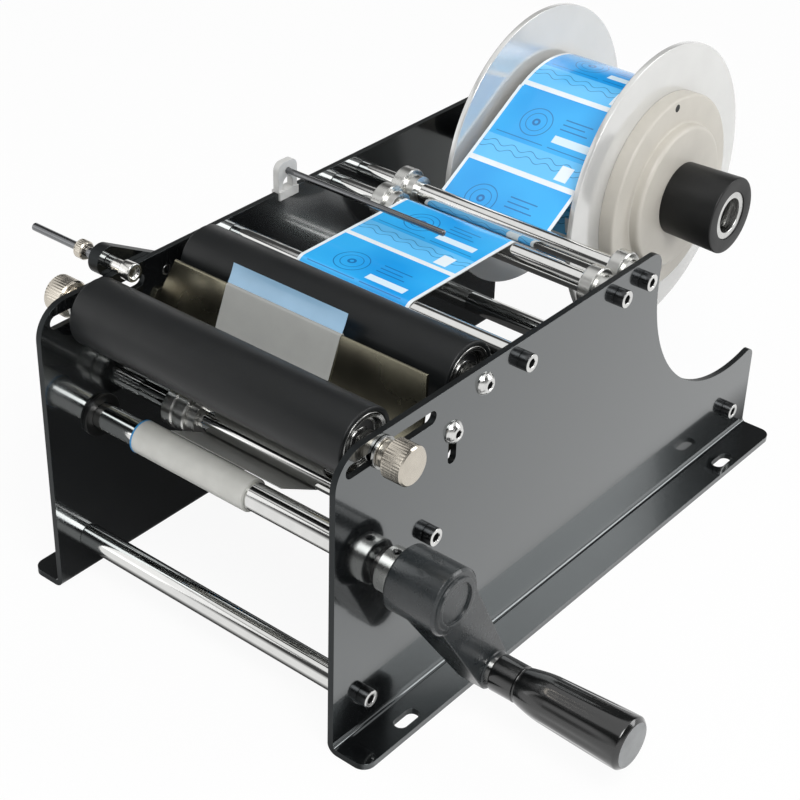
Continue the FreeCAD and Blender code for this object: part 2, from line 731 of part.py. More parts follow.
def strip(chain, left, width, thickness):
    """A strip of even thickness along a chain of circles, wide along X."""
    half = thickness / 2
    near = side_line(chain, half, left)
    far = side_line(chain, -half, left)
    caps = [Part.LineSegment(near[0].Vertexes[0].Point, far[0].Vertexes[0].Point).toShape(),
            Part.LineSegment(near[-1].Vertexes[-1].Point, far[-1].Vertexes[-1].Point).toShape()]
    wire = Part.Wire(Part.__sortEdges__(near + far + caps))
    return Part.Face(wire).extrude(FreeCAD.Vector(width, 0, 0))


def point_circle(point):
    return (point[0], point[1], 0.0)


# Peel plate: sheet folded back at both ends into cheeks, which screw to the side plates through a slot.
lean = math.radians(number("peel_lean_angle"))
sheet_half = number("peel_sheet / 2")
edge_y = number("peel_edge_y")
edge_z = number("peel_edge_z - peel_sheet / 2")
down_y = -math.sin(lean)
down_z = -math.cos(lean)
face_length = number("peel_face_length")
foot_y = edge_y + face_length * down_y
foot_z = edge_z + face_length * down_z
cheek_half = number(f"{INNER} - slide_gap")
screw_y = number("peel_screw_y")
screw_z = number("peel_screw_z")


def on_face(distance, back=0.0):
    """A point of the peel plate's middle plane, measured down from its edge and back from the plane."""
    return FreeCAD.Vector(0, edge_y + distance * down_y - back * down_z, edge_z + distance * down_z + back * down_y)


blade = strip([(edge_y, edge_z, 0.0), (foot_y, foot_z, 0.0)], -cheek_half, 2 * cheek_half, 2 * sheet_half)
for end_y, end_z in ((edge_y, edge_z), (foot_y, foot_z)):
    nose = Part.makeCylinder(sheet_half, 2 * cheek_half, FreeCAD.Vector(-cheek_half, end_y, end_z), X_AXIS)
    blade = blade.fuse(nose)
cheek_depth = number("peel_cheek_depth")
cheek_points = [on_face(6), on_face(face_length - 6), on_face(face_length - 6, 10),
                FreeCAD.Vector(0, screw_y + cheek_depth, screw_z - cheek_depth),
                FreeCAD.Vector(0, screw_y + cheek_depth, screw_z + cheek_depth / 2), on_face(6, 4)]
cheek_face = Part.Face(Part.makePolygon(cheek_points + cheek_points[:1]))
for side in (1, -1):
    cheek = cheek_face.extrude(FreeCAD.Vector(2 * sheet_half, 0, 0))
    cheek.translate(FreeCAD.Vector(cheek_half - 2 * sheet_half if side > 0 else -cheek_half, 0, 0))
    hole = Part.makeCylinder(number(THREAD_RADIUS), 4 * sheet_half,
                             FreeCAD.Vector(side * cheek_half - 2 * sheet_half, screw_y, screw_z), X_AXIS)
    blade = blade.fuse(cheek).cut(hole)
node(shaped("peel_plate_shape", blade.removeSplitter()), "peel_plate")
peel_screws = screws_through("peel_screw", "peel_screw_y", "peel_screw_z", "button_head_radius",
                             "button_head_height", "plate_thickness + 2 * slide_gap + peel_sheet + 1", True,
                             "slide_gap")
node(group("peel_screw_pair", peel_screws), "peel_plate_screws")

# Button head screws of the frame: the rear roller's axle and the pivot of the bottle stop.
frame_screws = screws_through("axle_screw", "rear_roller_y", "roller_z", "button_head_radius",
                              "button_head_height", "plate_thickness + screw_engagement", True)
pivot_screw = screw("pivot_screw", "button_head_radius", "button_head_height",
                    "plate_thickness + stop_arm_thickness + slide_gap", True)
place(pivot_screw, f"-({OUTER} + stop_arm_thickness + slide_gap)", "stop_pivot_y", "stop_pivot_z", "-x")
node(group("button_screws", frame_screws + [pivot_screw]), "frame_button_screws")

# Label web: off the top of the roll, under the rear guide bar, over the front one and the turning bar, under
# the rear roller and up to the peel plate's edge, where the liner turns back down to the take-up shaft.
web_half = number("web_thickness / 2")
around = number("web_gap") + web_half
bar_turn = number("bar_radius") + around
roll_circle = (number("reel_y"), number("reel_z"), number("roll_radius") + around)
rear_guide_circle = (number(REAR_BAR_Y), number("guide_bar_z"), -bar_turn)
front_guide_circle = (number("guide_bar_y"), number("guide_bar_z"), bar_turn)
turning_circle = (number("turning_bar_y"), number("guide_bar_z"), bar_turn)
roller_circle = (number("rear_roller_y"), number("roller_z"), -(number("roller_radius") + around))
edge_circle = (edge_y, edge_z, sheet_half + around)
foot_circle = (foot_y, foot_z, sheet_half + around)
liner_circle = (number("liner_bar_y"), number("liner_bar_z"), -bar_turn)
take_up_circle = (number("take_up_y"), number("take_up_z"), number("liner_roll_radius") + around)
roll_leave = tangent(roll_circle, rear_guide_circle)[0]
roller_leave = tangent(roller_circle, edge_circle)[0]
edge_apex = (edge_circle[0], edge_circle[1] + edge_circle[2])
liner_meet = tangent(foot_circle, liner_circle)[1]
take_up_meet = tangent(liner_circle, take_up_circle)[1]
web_left = -number("web_left")
web_width = number("web_width")
web_sheet = 2 * web_half

web_chain = [point_circle(roll_leave), rear_guide_circle, front_guide_circle, turning_circle,
             roller_circle, point_circle(roller_leave)]
node(shaped("web_shape", strip(web_chain, web_left, web_width, web_sheet)), "label_web")

front_run_chain = [point_circle(roller_leave), edge_circle, point_circle(edge_apex)]
node(shaped("front_run_shape", strip(front_run_chain, web_left, web_width, web_sheet)), "web_front_run")
liner_run_chain = [point_circle(edge_apex), edge_circle, foot_circle, point_circle(liner_meet)]
node(shaped("liner_run_shape", strip(liner_run_chain, web_left, web_width, web_sheet)), "liner_front_run")
tail_chain = [point_circle(liner_meet), liner_circle, point_circle(take_up_meet)]
node(shaped("liner_tail_shape", strip(tail_chain, web_left, web_width, web_sheet)), "liner_tail")

# The next label, already loose from the liner and standing up behind the peel plate's edge.
label_lean = math.radians(number("peeled_label_lean_angle"))
label_length = number("peeled_label_length")
label_foot = (edge_apex[0], edge_apex[1] + web_sheet, 0.0)
label_tip = (label_foot[0] + label_length * math.sin(label_lean),
             label_foot[1] + label_length * math.cos(label_lean), 0.0)
node(shaped("label_shape", strip([label_foot, label_tip], web_left, web_width, web_sheet)), "peeled_label")


def grub_screw(name, x, y, z, axis, seat, reach):
    """A headless set screw in a radial hole, which runs from the middle of the bore out to the given reach;
    the screw's point stands at the seat."""
    hole = place(cylinder(f"{name}_hole", "set_screw_radius + running_clearance", reach), x, y, z, axis)
    stud = offset(cylinder(f"{name}_stud", "set_screw_radius", "set_screw_length"), seat)
    socket = prism(f"{name}_socket", "set_screw_socket_width", "set_screw_socket_depth")
    offset(socket, f"{seat} + set_screw_length - set_screw_socket_depth")
    return hole, place(cut(name, stud, [socket]), x, y, z, axis)


# Guide collars on the guide bars: a flange that leads the web's edge and a hub with a set screw.
def guide_collar(label, x, y, z, flange, width):
    bar_hole = ("bar_radius + running_clearance", "0", f"{width} + collar_hub_width")
    hub = ("collar_hub_radius", "collar_hub_radius", "collar_hub_width")
    body = place(turned(label, flange + [hub], [bar_hole]), x, y, z, "+x")
    hole, grub = grub_screw(f"{label}_screw", f"{x} + {width} + collar_hub_width / 2", y, z, "+z",
                            "bar_radius + press_gap", "collar_flange_radius")
    node(group(f"{label}_pieces", [cut(f"{label}_body", body, [hole]), grub]), label)


flange_steps = chamfered("collar_flange_radius", "collar_flange_width", "collar_chamfer")
guide_collar("front_bar_left_collar", "front_left_collar_x", "guide_bar_y", "guide_bar_z", flange_steps,
             "collar_flange_width")
guide_collar("rear_bar_left_collar", "rear_left_collar_x", REAR_BAR_Y, "guide_bar_z", flange_steps,
             "collar_flange_width")
guide_collar("front_bar_right_collar", "front_right_collar_x", "guide_bar_y", "guide_bar_z", flange_steps,
             "collar_flange_width")
guide_collar("rear_bar_right_collar", "rear_right_collar_x", REAR_BAR_Y, "guide_bar_z", flange_steps,
             "collar_flange_width")
LINER_RIM = "(liner_collar_flange_width - liner_collar_groove_width) / 2"
GROOVE_RADIUS = "collar_flange_radius - liner_collar_groove_depth"
grooved_steps = chamfered("collar_flange_radius", LINER_RIM, "collar_chamfer")
grooved_steps += [(GROOVE_RADIUS, GROOVE_RADIUS, "liner_collar_groove_width")] + grooved_steps
guide_collar("liner_collar", "liner_collar_x", "liner_bar_y", "liner_bar_z", grooved_steps,
             "liner_collar_flange_width")

# Take-up shaft, which the crank turns, with the used liner wound on it.
TAKE_UP_START = f"({OUTER} + shaft_overhang)"
take_up_bar = cylinder("take_up_bar", "take_up_radius", f"{TAKE_UP_START} + {HUB_FACE} + crank_shaft_depth")
node(place(take_up_bar, f"-{TAKE_UP_START}", "take_up_y", "take_up_z", "+x"), "take_up_shaft")
wound_liner = turned("wound_liner", [("liner_roll_radius", "liner_roll_radius", "liner_roll_length")],
                     [("take_up_radius + press_gap", "0", "liner_roll_length")])
node(place(wound_liner, "liner_roll_start_x", "take_up_y", "take_up_z", "+x"), "liner_roll")

bushes = []
for side, turn, axis in (("right", 1, "+x"), ("left", -1, "-x")):
    bush = turned(f"{side}_bush", [
        ("bush_flange_radius", "bush_flange_radius", "bush_flange"),
        ("bush_radius", "bush_radius", "plate_thickness"),
    ], [("take_up_radius + running_clearance", "0", "bush_flange + plate_thickness")])
    bushes.append(place(bush, f"{turn} * ({INNER} - bush_flange)", "take_up_y", "take_up_z", axis))
node(group("bush_pair", bushes), "take_up_bushes")

collar_ring = turned("collar_ring", chamfered("crank_collar_radius", "crank_collar_length", "collar_chamfer"),
                     [("take_up_radius + press_gap", "0", "crank_collar_length")])
place(collar_ring, COLLAR_FACE, "take_up_y", "take_up_z", "+x")
collar_hole, collar_grub = grub_screw("crank_collar_screw", f"{COLLAR_FACE} + crank_collar_length / 2",
                                      "take_up_y", "take_up_z", "+z", "take_up_radius + press_gap",
                                      "crank_collar_radius + 1")
node(cut("crank_collar_body", collar_ring, [collar_hole]), "crank_collar")

# Crank arm: a hub, a tapering arm with its outer face flush with the hub, and a boss for the grip's spindle.
ARM_TURN = FreeCAD.Rotation(
    FreeCAD.Vector(0, math.sin(CRANK_ANGLE), -math.cos(CRANK_ANGLE)),
    FreeCAD.Vector(0, math.cos(CRANK_ANGLE), math.sin(CRANK_ANGLE)), X_AXIS, "ZXY")
arm_hub = turned("arm_hub", chamfered("crank_hub_radius", "crank_hub_length", "crank_edge")
                 + [("crank_ring_radius", "crank_ring_radius - 0.3", "crank_ring_height")],
                 [("crank_ring_radius - crank_ring_wall", "crank_hub_length", "crank_ring_height")])
place(arm_hub, HUB_FACE, "take_up_y", "take_up_z", "+x")
arm_web = doc.addObject("Part::Wedge", "arm_web")
bind(arm_web, Xmin="-crank_arm_root_width / 2", Xmax="crank_arm_root_width / 2", Ymin="0",
     Ymax="crank_throw", Zmin="crank_hub_length - crank_arm_root_thickness",
     Zmax="crank_hub_length - crank_edge / 2", X2min="-crank_arm_end_radius", X2max="crank_arm_end_radius",
     Z2min="crank_hub_length - crank_arm_tip_thickness", Z2max="crank_hub_length - crank_edge / 2")
place(arm_web, HUB_FACE, "take_up_y", "take_up_z")
arm_web.Placement = FreeCAD.Placement(arm_web.Placement.Base, ARM_TURN)
arm_boss = turned("arm_boss", chamfered("crank_arm_end_radius", "crank_arm_tip_thickness", "crank_edge"))
place(arm_boss, f"{ARM_FACE} - crank_arm_tip_thickness", GRIP_Y, GRIP_Z, "+x")
shaft_bore = place(cylinder("shaft_bore", "take_up_radius + press_gap", "crank_shaft_depth + slide_gap"),
                   HUB_FACE, "take_up_y", "take_up_z", "+x")
spindle_bore = place(cylinder("spindle_bore", "spindle_radius + press_gap", "spindle_depth + slide_gap + 1"),
                     f"{ARM_FACE} - spindle_depth - slide_gap", GRIP_Y, GRIP_Z, "+x")
hub_hole, hub_grub = grub_screw("crank_hub_screw", f"{HUB_FACE} + crank_hub_length / 2", "take_up_y",
                                "take_up_z", "-z", "take_up_radius + press_gap", "crank_hub_radius + 1")
arm_solid = fuse("arm_solid", [arm_hub, arm_web, arm_boss])
node(cut("arm_bored", arm_solid, [shaft_bore, spindle_bore, hub_hole]), "crank_arm")
node(group("crank_grubs", [collar_grub, hub_grub]), "crank_set_screws")

# Grip, free to turn on its spindle.
spindle = turned("spindle", [
    ("spindle_radius", "spindle_radius", "spindle_depth"),
    ("spindle_shoulder_radius", "spindle_shoulder_radius", "grip_gap - running_clearance"),
    ("spindle_radius", "spindle_radius", "grip_length - grip_wall"),
])
node(place(spindle, f"{ARM_FACE} - spindle_depth", GRIP_Y, GRIP_Z, "+x"), "grip_spindle")
GRIP_SWELL = ("(grip_length - grip_neck_length - grip_groove_width - grip_swell_length - grip_end_chamfer)")
grip = turned("grip", [
    ("grip_neck_radius", "grip_neck_radius", "grip_neck_length"),
    ("grip_neck_radius - grip_groove_depth", "grip_neck_radius - grip_groove_depth", "grip_groove_width"),
    ("grip_neck_radius", "grip_swell_radius", "grip_swell_length"),
    ("grip_swell_radius", "grip_end_radius", GRIP_SWELL),
    ("grip_end_radius", "grip_end_radius - grip_end_chamfer", "grip_end_chamfer"),
], [("spindle_radius + running_clearance", "0", "grip_length - grip_wall + slide_gap")])
node(place(grip, GRIP_FACE, GRIP_Y, GRIP_Z, "+x"), "crank_grip")

# Reel: a shaft in a flanged bearing on the left plate, a fixed left flange and a right flange that pulls off.
reel_bearing = turned("bearing", [
    ("reel_spigot_radius", "reel_spigot_radius", "plate_thickness"),
    ("reel_bearing_flange_radius", "reel_bearing_flange_radius", "reel_bearing_flange"),
    ("reel_bearing_radius", "reel_bearing_radius", "reel_bearing_length - reel_bearing_flange"),
], [("reel_shaft_radius + running_clearance", "0", "reel_bearing_length + plate_thickness")])
node(place(reel_bearing, f"-{OUTER}", "reel_y", "reel_z", "+x"), "reel_bearing")
SHAFT_LEFT = f"({OUTER} + slide_gap + reel_collar_length + shaft_overhang)"
reel_bar = cylinder("reel_bar", "reel_shaft_radius", f"{SHAFT_LEFT} + reel_shaft_end_x")
node(place(reel_bar, f"-{SHAFT_LEFT}", "reel_y", "reel_z", "+x"), "reel_shaft")
stop_ring = turned("stop_ring", chamfered("reel_collar_radius", "reel_collar_length", "collar_chamfer"),
                   [("reel_shaft_radius + press_gap", "0", "reel_collar_length")])
place(stop_ring, f"-({OUTER} + slide_gap)", "reel_y", "reel_z", "-x")
ring_hole, ring_grub = grub_screw("ring_screw", f"-({OUTER} + slide_gap + reel_collar_length / 2)", "reel_y",
                                  "reel_z", "+z", "reel_shaft_radius + press_gap", "reel_collar_radius + 1")
node(group("ring_pieces", [cut("ring_body", stop_ring, [ring_hole]), ring_grub]), "reel_shaft_collar")

DRUM_RADIUS = "(core_radius - slide_gap)"
BOSS_START = f"({INNER} - reel_bearing_length - slide_gap)"
left_hub = turned("left_drum", [
    ("reel_bearing_radius", "reel_bearing_radius", f"{BOSS_START} - left_disc_x"),
    (DRUM_RADIUS, DRUM_RADIUS, "drum_length"),
], [("reel_shaft_radius + press_gap", "0", f"{BOSS_START} - left_disc_x + drum_length")])
node(place(left_hub, f"-{BOSS_START}", "reel_y", "reel_z", "+x"), "left_hub")
left_flange = turned("left_flange", [("disc_radius", "disc_radius", "disc_thickness")],
                     [("reel_bearing_radius + press_gap", "0", "disc_thickness")])
node(place(left_flange, "-(left_disc_x + disc_thickness)", "reel_y", "reel_z", "+x"), "left_disc")
right_flange = turned("right_flange", [("disc_radius", "disc_radius", "disc_thickness")],
                      [(f"{DRUM_RADIUS} + press_gap", "0", "disc_thickness")])
node(place(right_flange, "right_disc_x", "reel_y", "reel_z", "+x"), "right_disc")

CORE_OUTSIDE = "(core_radius + core_wall)"
core = turned("core", [(CORE_OUTSIDE, CORE_OUTSIDE, "web_width + 2 * core_overhang")],
              [("core_radius", "0", "web_width + 2 * core_overhang")])
node(place(core, "-(web_left + core_overhang)", "reel_y", "reel_z", "+x"), "label_core")
roll = turned("roll", [("roll_radius", "roll_radius", "web_width")],
              [(f"{CORE_OUTSIDE} + press_gap", "0", "web_width")])
node(place(roll, "-web_left", "reel_y", "reel_z", "+x"), "label_roll")

hub_solid = turned("hub_solid", [
    (DRUM_RADIUS, DRUM_RADIUS, "hub_spigot_length"),
    ("hub_step_radius", "hub_step_radius", "hub_step_length - hub_edge_radius / 2"),
    ("hub_step_radius", "hub_step_radius - hub_edge_radius / 2", "hub_edge_radius / 2"),
    ("hub_small_radius", "hub_small_radius", "hub_small_length - hub_edge_radius"),
    ("hub_small_radius", "hub_small_radius - hub_edge_radius", "hub_edge_radius"),
], [("reel_shaft_radius + running_clearance", "0", "hub_spigot_length + hub_step_length + hub_small_length")])
place(hub_solid, f"{HUB_STEP_X} - hub_spigot_length", "reel_y", "reel_z", "+x")
hub_angle = math.radians(number("hub_hole_angle"))
drive_hole = place(cylinder("drive_hole", "hub_hole_radius", "hub_hole_depth + 1"),
                   f"{HUB_SMALL_X} - hub_hole_depth", f"reel_y + hub_hole_ring * {math.cos(hub_angle)}",
                   f"reel_z + hub_hole_ring * {math.sin(hub_angle)}", "+x")
node(cut("hub_drilled", hub_solid, [drive_hole]), "stepped_hub")

cap = turned("cap", [
    ("reel_cap_root_radius", "reel_cap_radius", "reel_cap_length - cap_edge"),
    ("reel_cap_radius", "reel_cap_radius - cap_edge", "cap_edge"),
], [("reel_shaft_radius + running_clearance", "0", "reel_cap_length - cap_bore_depth"),
    ("reel_cap_bore_radius", "reel_cap_length - cap_bore_depth", "cap_bore_depth")])
node(place(cap, CAP_X, "reel_y", "reel_z", "+x"), "reel_cap")
ring_length = "cap_bore_depth - cap_ring_inset"
ring = turned("insert", [("reel_cap_bore_radius - press_gap", "reel_cap_bore_radius - press_gap", ring_length)],
              [("reel_cap_bore_radius - cap_ring_wall", "0", ring_length)])
node(place(ring, f"{CAP_X} + reel_cap_length - cap_bore_depth", "reel_y", "reel_z", "+x"), "cap_ring")

# Pointer: an arched clip that stands on the left plate's top edge and grips it with a foot, and a rod held by
# friction in the arch.
POST_X = f"-({INNER} + plate_thickness / 2)"
POST_LEFT = f"({POST_X} - pointer_post_depth / 2)"
POST_FRONT = "(pointer_y - pointer_post_width / 2)"
post_sides = box("post_sides", "pointer_post_depth", "pointer_post_width",
                 "pointer_post_height - pointer_post_corner")
place(post_sides, POST_LEFT, POST_FRONT, "plate_height")
post_top = box("post_top", "pointer_post_depth", "pointer_post_width - 2 * pointer_post_corner",
               "pointer_post_height")
place(post_top, POST_LEFT, f"{POST_FRONT} + pointer_post_corner", "plate_height")
corners = []
for end, shift in (("front", "pointer_post_corner"), ("rear", "pointer_post_width - pointer_post_corner")):
    corner = cylinder(f"post_{end}_corner", "pointer_post_corner", "pointer_post_depth")
    corners.append(place(corner, POST_LEFT, f"{POST_FRONT} + {shift}",
                         "plate_height + pointer_post_height - pointer_post_corner", "+x"))
foot = box("post_foot", "pointer_foot_depth", "pointer_post_width", "pointer_foot_height + pointer_foot_lip")
place(foot, f"{POST_X} - pointer_foot_depth / 2", POST_FRONT, "plate_height - pointer_foot_height")
post = fuse("post_blank", [post_sides, post_top, foot] + corners)
window_arch = "(pointer_window_width / 2)"
window_foot = box("window_foot", "pointer_foot_depth + 2", "pointer_window_width",
                  f"pointer_window_height - pointer_foot_lip - {window_arch}")
place(window_foot, f"{POST_X} - pointer_foot_depth / 2 - 1", f"pointer_y - {window_arch}",
      "plate_height + pointer_foot_lip")
window_top = cylinder("window_top", window_arch, "pointer_post_depth + 2")
place(window_top, f"{POST_LEFT} - 1", "pointer_y", f"plate_height + pointer_window_height - {window_arch}", "+x")
seat = place(box("post_seat", "plate_thickness + 2 * running_clearance", "pointer_post_width + 2",
                 "pointer_foot_height + running_clearance + 1"),
             f"{POST_X} - plate_thickness / 2 - running_clearance", f"{POST_FRONT} - 1",
             "plate_height - pointer_foot_height - 1")
rod_hole = place(cylinder("rod_hole", "pointer_rod_radius + running_clearance", "pointer_post_depth + 2"),
                 f"{POST_LEFT} - 1", "pointer_y", "pointer_z", "+x")
node(cut("post_body", post, [window_foot, window_top, seat, rod_hole]), "pointer_post")
pointer = cylinder("pointer", "pointer_rod_radius", "pointer_rod_length")
node(place(pointer, f"{POST_X} - pointer_rod_tail", "pointer_y", "pointer_z", "+x"), "pointer_rod")

# Bottle stop: an arm on the outside of the left plate, a stepped rod through its end with a round nut on the
# thin part, and a tip that ends over the rollers.
ARM_INNER = f"({OUTER} + slide_gap)"
ARM_OUTER = f"({OUTER} + slide_gap + stop_arm_thickness)"
arm_x = -number(ARM_OUTER)
front_end = (number("stop_y"), number("stop_z"), number("stop_end_radius"))
pivot_end = (number("stop_pivot_y"), number("stop_pivot_z"), number("stop_pivot_radius"))
lower = tangent(front_end, pivot_end)
upper = tangent(front_end[:2] + (-front_end[2],), pivot_end[:2] + (-pivot_end[2],))
outline = [FreeCAD.Vector(arm_x, y, z) for y, z in (lower[0], lower[1], upper[1], upper[0], lower[0])]
arm_depth = number("stop_arm_thickness")
stop_arm = Part.Face(Part.makePolygon(outline)).extrude(FreeCAD.Vector(arm_depth, 0, 0))
for y, z, radius in (front_end, pivot_end):
    stop_arm = stop_arm.fuse(Part.makeCylinder(radius, arm_depth, FreeCAD.Vector(arm_x, y, z), X_AXIS))
for (y, z, radius), bore in ((front_end, "stop_rod_radius"), (pivot_end, "screw_radius")):
    stop_arm = stop_arm.cut(Part.makeCylinder(number(f"{bore} + running_clearance"), 2 * radius,
                                              FreeCAD.Vector(arm_x - radius / 2, y, z), X_AXIS))
node(shaped("stop_arm_shape", stop_arm.removeSplitter()), "stop_arm")
thin_length = "stop_rod_reach + stop_nut_x + stop_nut_length"
stop_bar = turned("stop_bar", [
    ("stop_thread_radius", "stop_thread_radius", thin_length),
    ("stop_rod_radius", "stop_rod_radius", f"stop_rod_reach - ({thin_length}) - {ARM_INNER} + stop_tip_socket"),
])
node(place(stop_bar, "-stop_rod_reach", "stop_y", "stop_z", "+x"), "stop_rod")
stop_button = turned("stop_button", [
    ("stop_tip_neck_radius", "stop_tip_neck_radius", "stop_tip_neck_length"),
    ("stop_tip_radius", "stop_tip_radius", "stop_tip_length - stop_tip_edge"),
    ("stop_tip_radius", "stop_tip_radius - stop_tip_edge", "stop_tip_edge"),
], [("stop_rod_radius + press_gap", "0", "stop_tip_socket")])
node(place(stop_button, f"-{ARM_INNER} + slide_gap", "stop_y", "stop_z", "+x"), "stop_tip")
stop_nut = turned("round_nut", chamfered("stop_nut_radius", "stop_nut_length", "head_chamfer"),
                  [("stop_thread_radius + thread_clearance", "0", "stop_nut_length")])
node(place(stop_nut, "stop_nut_x", "stop_y", "stop_z", "+x"), "stop_nut")

doc.recompute()
for item in doc.Objects:
    if "Invalid" in item.State or "Error" in item.State:
        raise RuntimeError(f"{item.Label} did not compute: {item.State}")
for item in NODES:
    if item.Shape.isNull() or not item.Shape.isValid():
        raise RuntimeError(f"{item.Label} has no valid shape")

os.makedirs("parts", exist_ok=True)
for item in NODES:
    item.Shape.exportStep(f"parts/{item.Label}.step")
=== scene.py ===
import json
import math
import bmesh
import bpy
import numpy as np
from mathutils import Matrix, Vector


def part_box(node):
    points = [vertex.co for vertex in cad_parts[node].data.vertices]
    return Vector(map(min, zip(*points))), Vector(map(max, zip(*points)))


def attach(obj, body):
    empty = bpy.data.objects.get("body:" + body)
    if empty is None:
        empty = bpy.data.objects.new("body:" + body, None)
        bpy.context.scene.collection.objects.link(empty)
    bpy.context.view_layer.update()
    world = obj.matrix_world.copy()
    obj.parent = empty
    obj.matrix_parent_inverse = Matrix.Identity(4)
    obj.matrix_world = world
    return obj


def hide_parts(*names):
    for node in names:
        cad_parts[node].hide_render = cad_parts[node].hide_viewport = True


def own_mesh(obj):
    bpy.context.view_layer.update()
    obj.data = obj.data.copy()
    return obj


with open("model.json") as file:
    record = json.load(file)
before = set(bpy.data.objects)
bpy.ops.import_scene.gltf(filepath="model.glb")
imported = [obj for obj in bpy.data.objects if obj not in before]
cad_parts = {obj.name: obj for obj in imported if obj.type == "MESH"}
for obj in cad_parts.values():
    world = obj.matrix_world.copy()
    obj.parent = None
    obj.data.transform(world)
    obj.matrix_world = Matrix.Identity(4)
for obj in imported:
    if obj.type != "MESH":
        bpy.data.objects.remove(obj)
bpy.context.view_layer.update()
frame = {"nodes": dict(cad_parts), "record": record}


# Camera: in front of the machine, to its right and above it, with a long lens. Its place and its axes were
# solved from the edges of the side plates and from the cross rods.
LENS = 84.2
CAMERA_PLACE = (0.43585, -0.6343, 0.5562)
CAMERA_RIGHT = (0.7720, 0.6350, 0.0269)
CAMERA_BACK = (0.52146, -0.65713, 0.54429)
camera = bpy.data.objects.new("camera", bpy.data.cameras.new("camera"))
bpy.context.scene.collection.objects.link(camera)
camera.data.lens = LENS
camera.data.sensor_width = 36.0
camera.data.clip_start = 0.05
back = Vector(CAMERA_BACK).normalized()
up = back.cross(Vector(CAMERA_RIGHT)).normalized()
right = up.cross(back).normalized()
camera.matrix_world = Matrix.Translation(CAMERA_PLACE) @ Matrix((right, up, back)).transposed().to_4x4()
scene = bpy.context.scene
scene.camera = camera
scene.render.resolution_x = 800
scene.render.resolution_y = 800
scene.view_settings.view_transform = "Standard"


# Side plates: folded sheet steel under a gloss black powder coat. The coat is smooth with a faint orange
# peel, so it mirrors the studio softly, and it rounds the cut edges.
TOOL_PITCH, GRAIN_HEIGHT = 0.35, 0.0002


def linear(code):
    """An sRGB hex colour as linear red, green, blue and alpha."""
    parts = [int(code[i:i + 2], 16) / 255 for i in (1, 3, 5)]
    return [c / 12.92 if c <= 0.04045 else ((c + 0.055) / 1.055) ** 2.4 for c in parts] + [1.0]


def add(tree, kind, values=(), out=0, **settings):
    """A shader node's output. values are its inputs, in order or by name or number, each a constant or
    another node's output. out is the output's name or number, and None gives all of them."""
    node = tree.nodes.new("ShaderNode" + kind)
    for key, value in settings.items():
        setattr(node, key, value)
    for key, value in (values.items() if isinstance(values, dict) else enumerate(values)):
        if isinstance(value, bpy.types.NodeSocket):
            tree.links.new(value, node.inputs[key])
        else:
            node.inputs[key].default_value = value
    return node.outputs if out is None else node.outputs[out]


def grain(tree, size, detail=3.0):
    """Noise from 0 to 1 with lumps that many millimetres wide."""
    where = add(tree, "TexCoord", out="Object")
    return add(tree, "TexNoise", {"Vector": where, "Scale": 1000.0 / size, "Detail": detail})


def tool_marks(tree, pitch):
    """Noise from 0 to 1 in fine rings round a turned piece, by the distance along its profile in its UV."""
    along = add(tree, "Mapping", {0: add(tree, "TexCoord", out="UV"), 3: (0.02, 1.0, 1.0)})
    return add(tree, "TexNoise", {"Vector": along, "Scale": 1.0 / pitch, "Detail": 2.0})


def finish(name, colour, roughness, metallic=0.0, mottle=0.1, cloud=6.0, bump=0.0, bump_size=1.0,
           turned=0.0, edge=0.0, **inputs):
    """A material. Its colour varies by the share mottle over clouds of that many mm, its roughness by a
    quarter over larger smudges; bump lifts grain of bump_size mm, turned adds a lathe's marks, and edge
    rounds the light on sharp corners by that many mm."""
    material = bpy.data.materials.new(name)
    material.use_nodes = True
    tree = material.node_tree
    shader = tree.nodes["Principled BSDF"]
    middle = linear(colour)[:3]
    dark = [c * (1.0 - mottle) for c in middle] + [1.0]
    light = [min(1.0, c * (1.0 + mottle)) for c in middle] + [1.0]
    clouds = add(tree, "MapRange", [grain(tree, cloud), 0.3, 0.7])
    base = add(tree, "Mix", {0: clouds, 6: dark, 7: light}, out=2, data_type="RGBA")
    tree.links.new(base, shader.inputs["Base Color"])
    smudges = grain(tree, cloud * 2.7, 5.0)
    rough = add(tree, "MapRange", [smudges, 0.25, 0.75, roughness * 0.8, roughness * 1.25])
    height = grain(tree, bump_size, 2.0)
    if turned:
        marks = tool_marks(tree, TOOL_PITCH)
        streaks = add(tree, "MapRange", [marks, 0.3, 0.7, -turned * 0.5, turned * 0.5])
        rough = add(tree, "Math", [rough, streaks], operation="ADD")
        ridges = add(tree, "Math", [marks, 2.0], operation="MULTIPLY")
        height = add(tree, "Math", [height, ridges], operation="ADD")
        bump = max(bump, turned * 0.25)
    tree.links.new(rough, shader.inputs["Roughness"])
    shader.inputs["Metallic"].default_value = metallic
    for key, value in inputs.items():
        shader.inputs[key.replace("_", " ").title().replace("Ior", "IOR")].default_value = value
    normal = {}
    if edge:
        normal = {"Normal": add(tree, "Bevel", {"Radius": edge / 1000.0}, samples=4)}
    if bump:
        relief = {"Strength": bump, "Distance": GRAIN_HEIGHT, "Height": height, **normal}
        normal = {"Normal": add(tree, "Bump", relief)}
    if normal:
        tree.links.new(normal["Normal"], shader.inputs["Normal"])
    return material


def dress(material, *nodes):
    """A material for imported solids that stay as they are."""
    for name in nodes:
        frame["nodes"][name].data.materials.clear()
        frame["nodes"][name].data.materials.append(material)


powder_coat = finish("black_powder_coated_steel", "#0c0d0e", 0.13, bump=0.08, bump_size=1.6, edge=0.3,
                     cloud=20, coat_weight=1.0, coat_roughness=0.05, specular_ior_level=0.9,
                     specular_tint=(0.86, 0.97, 1.0, 1.0))


BEND_TOP, ABOVE_BEND = 0.010, 0.012


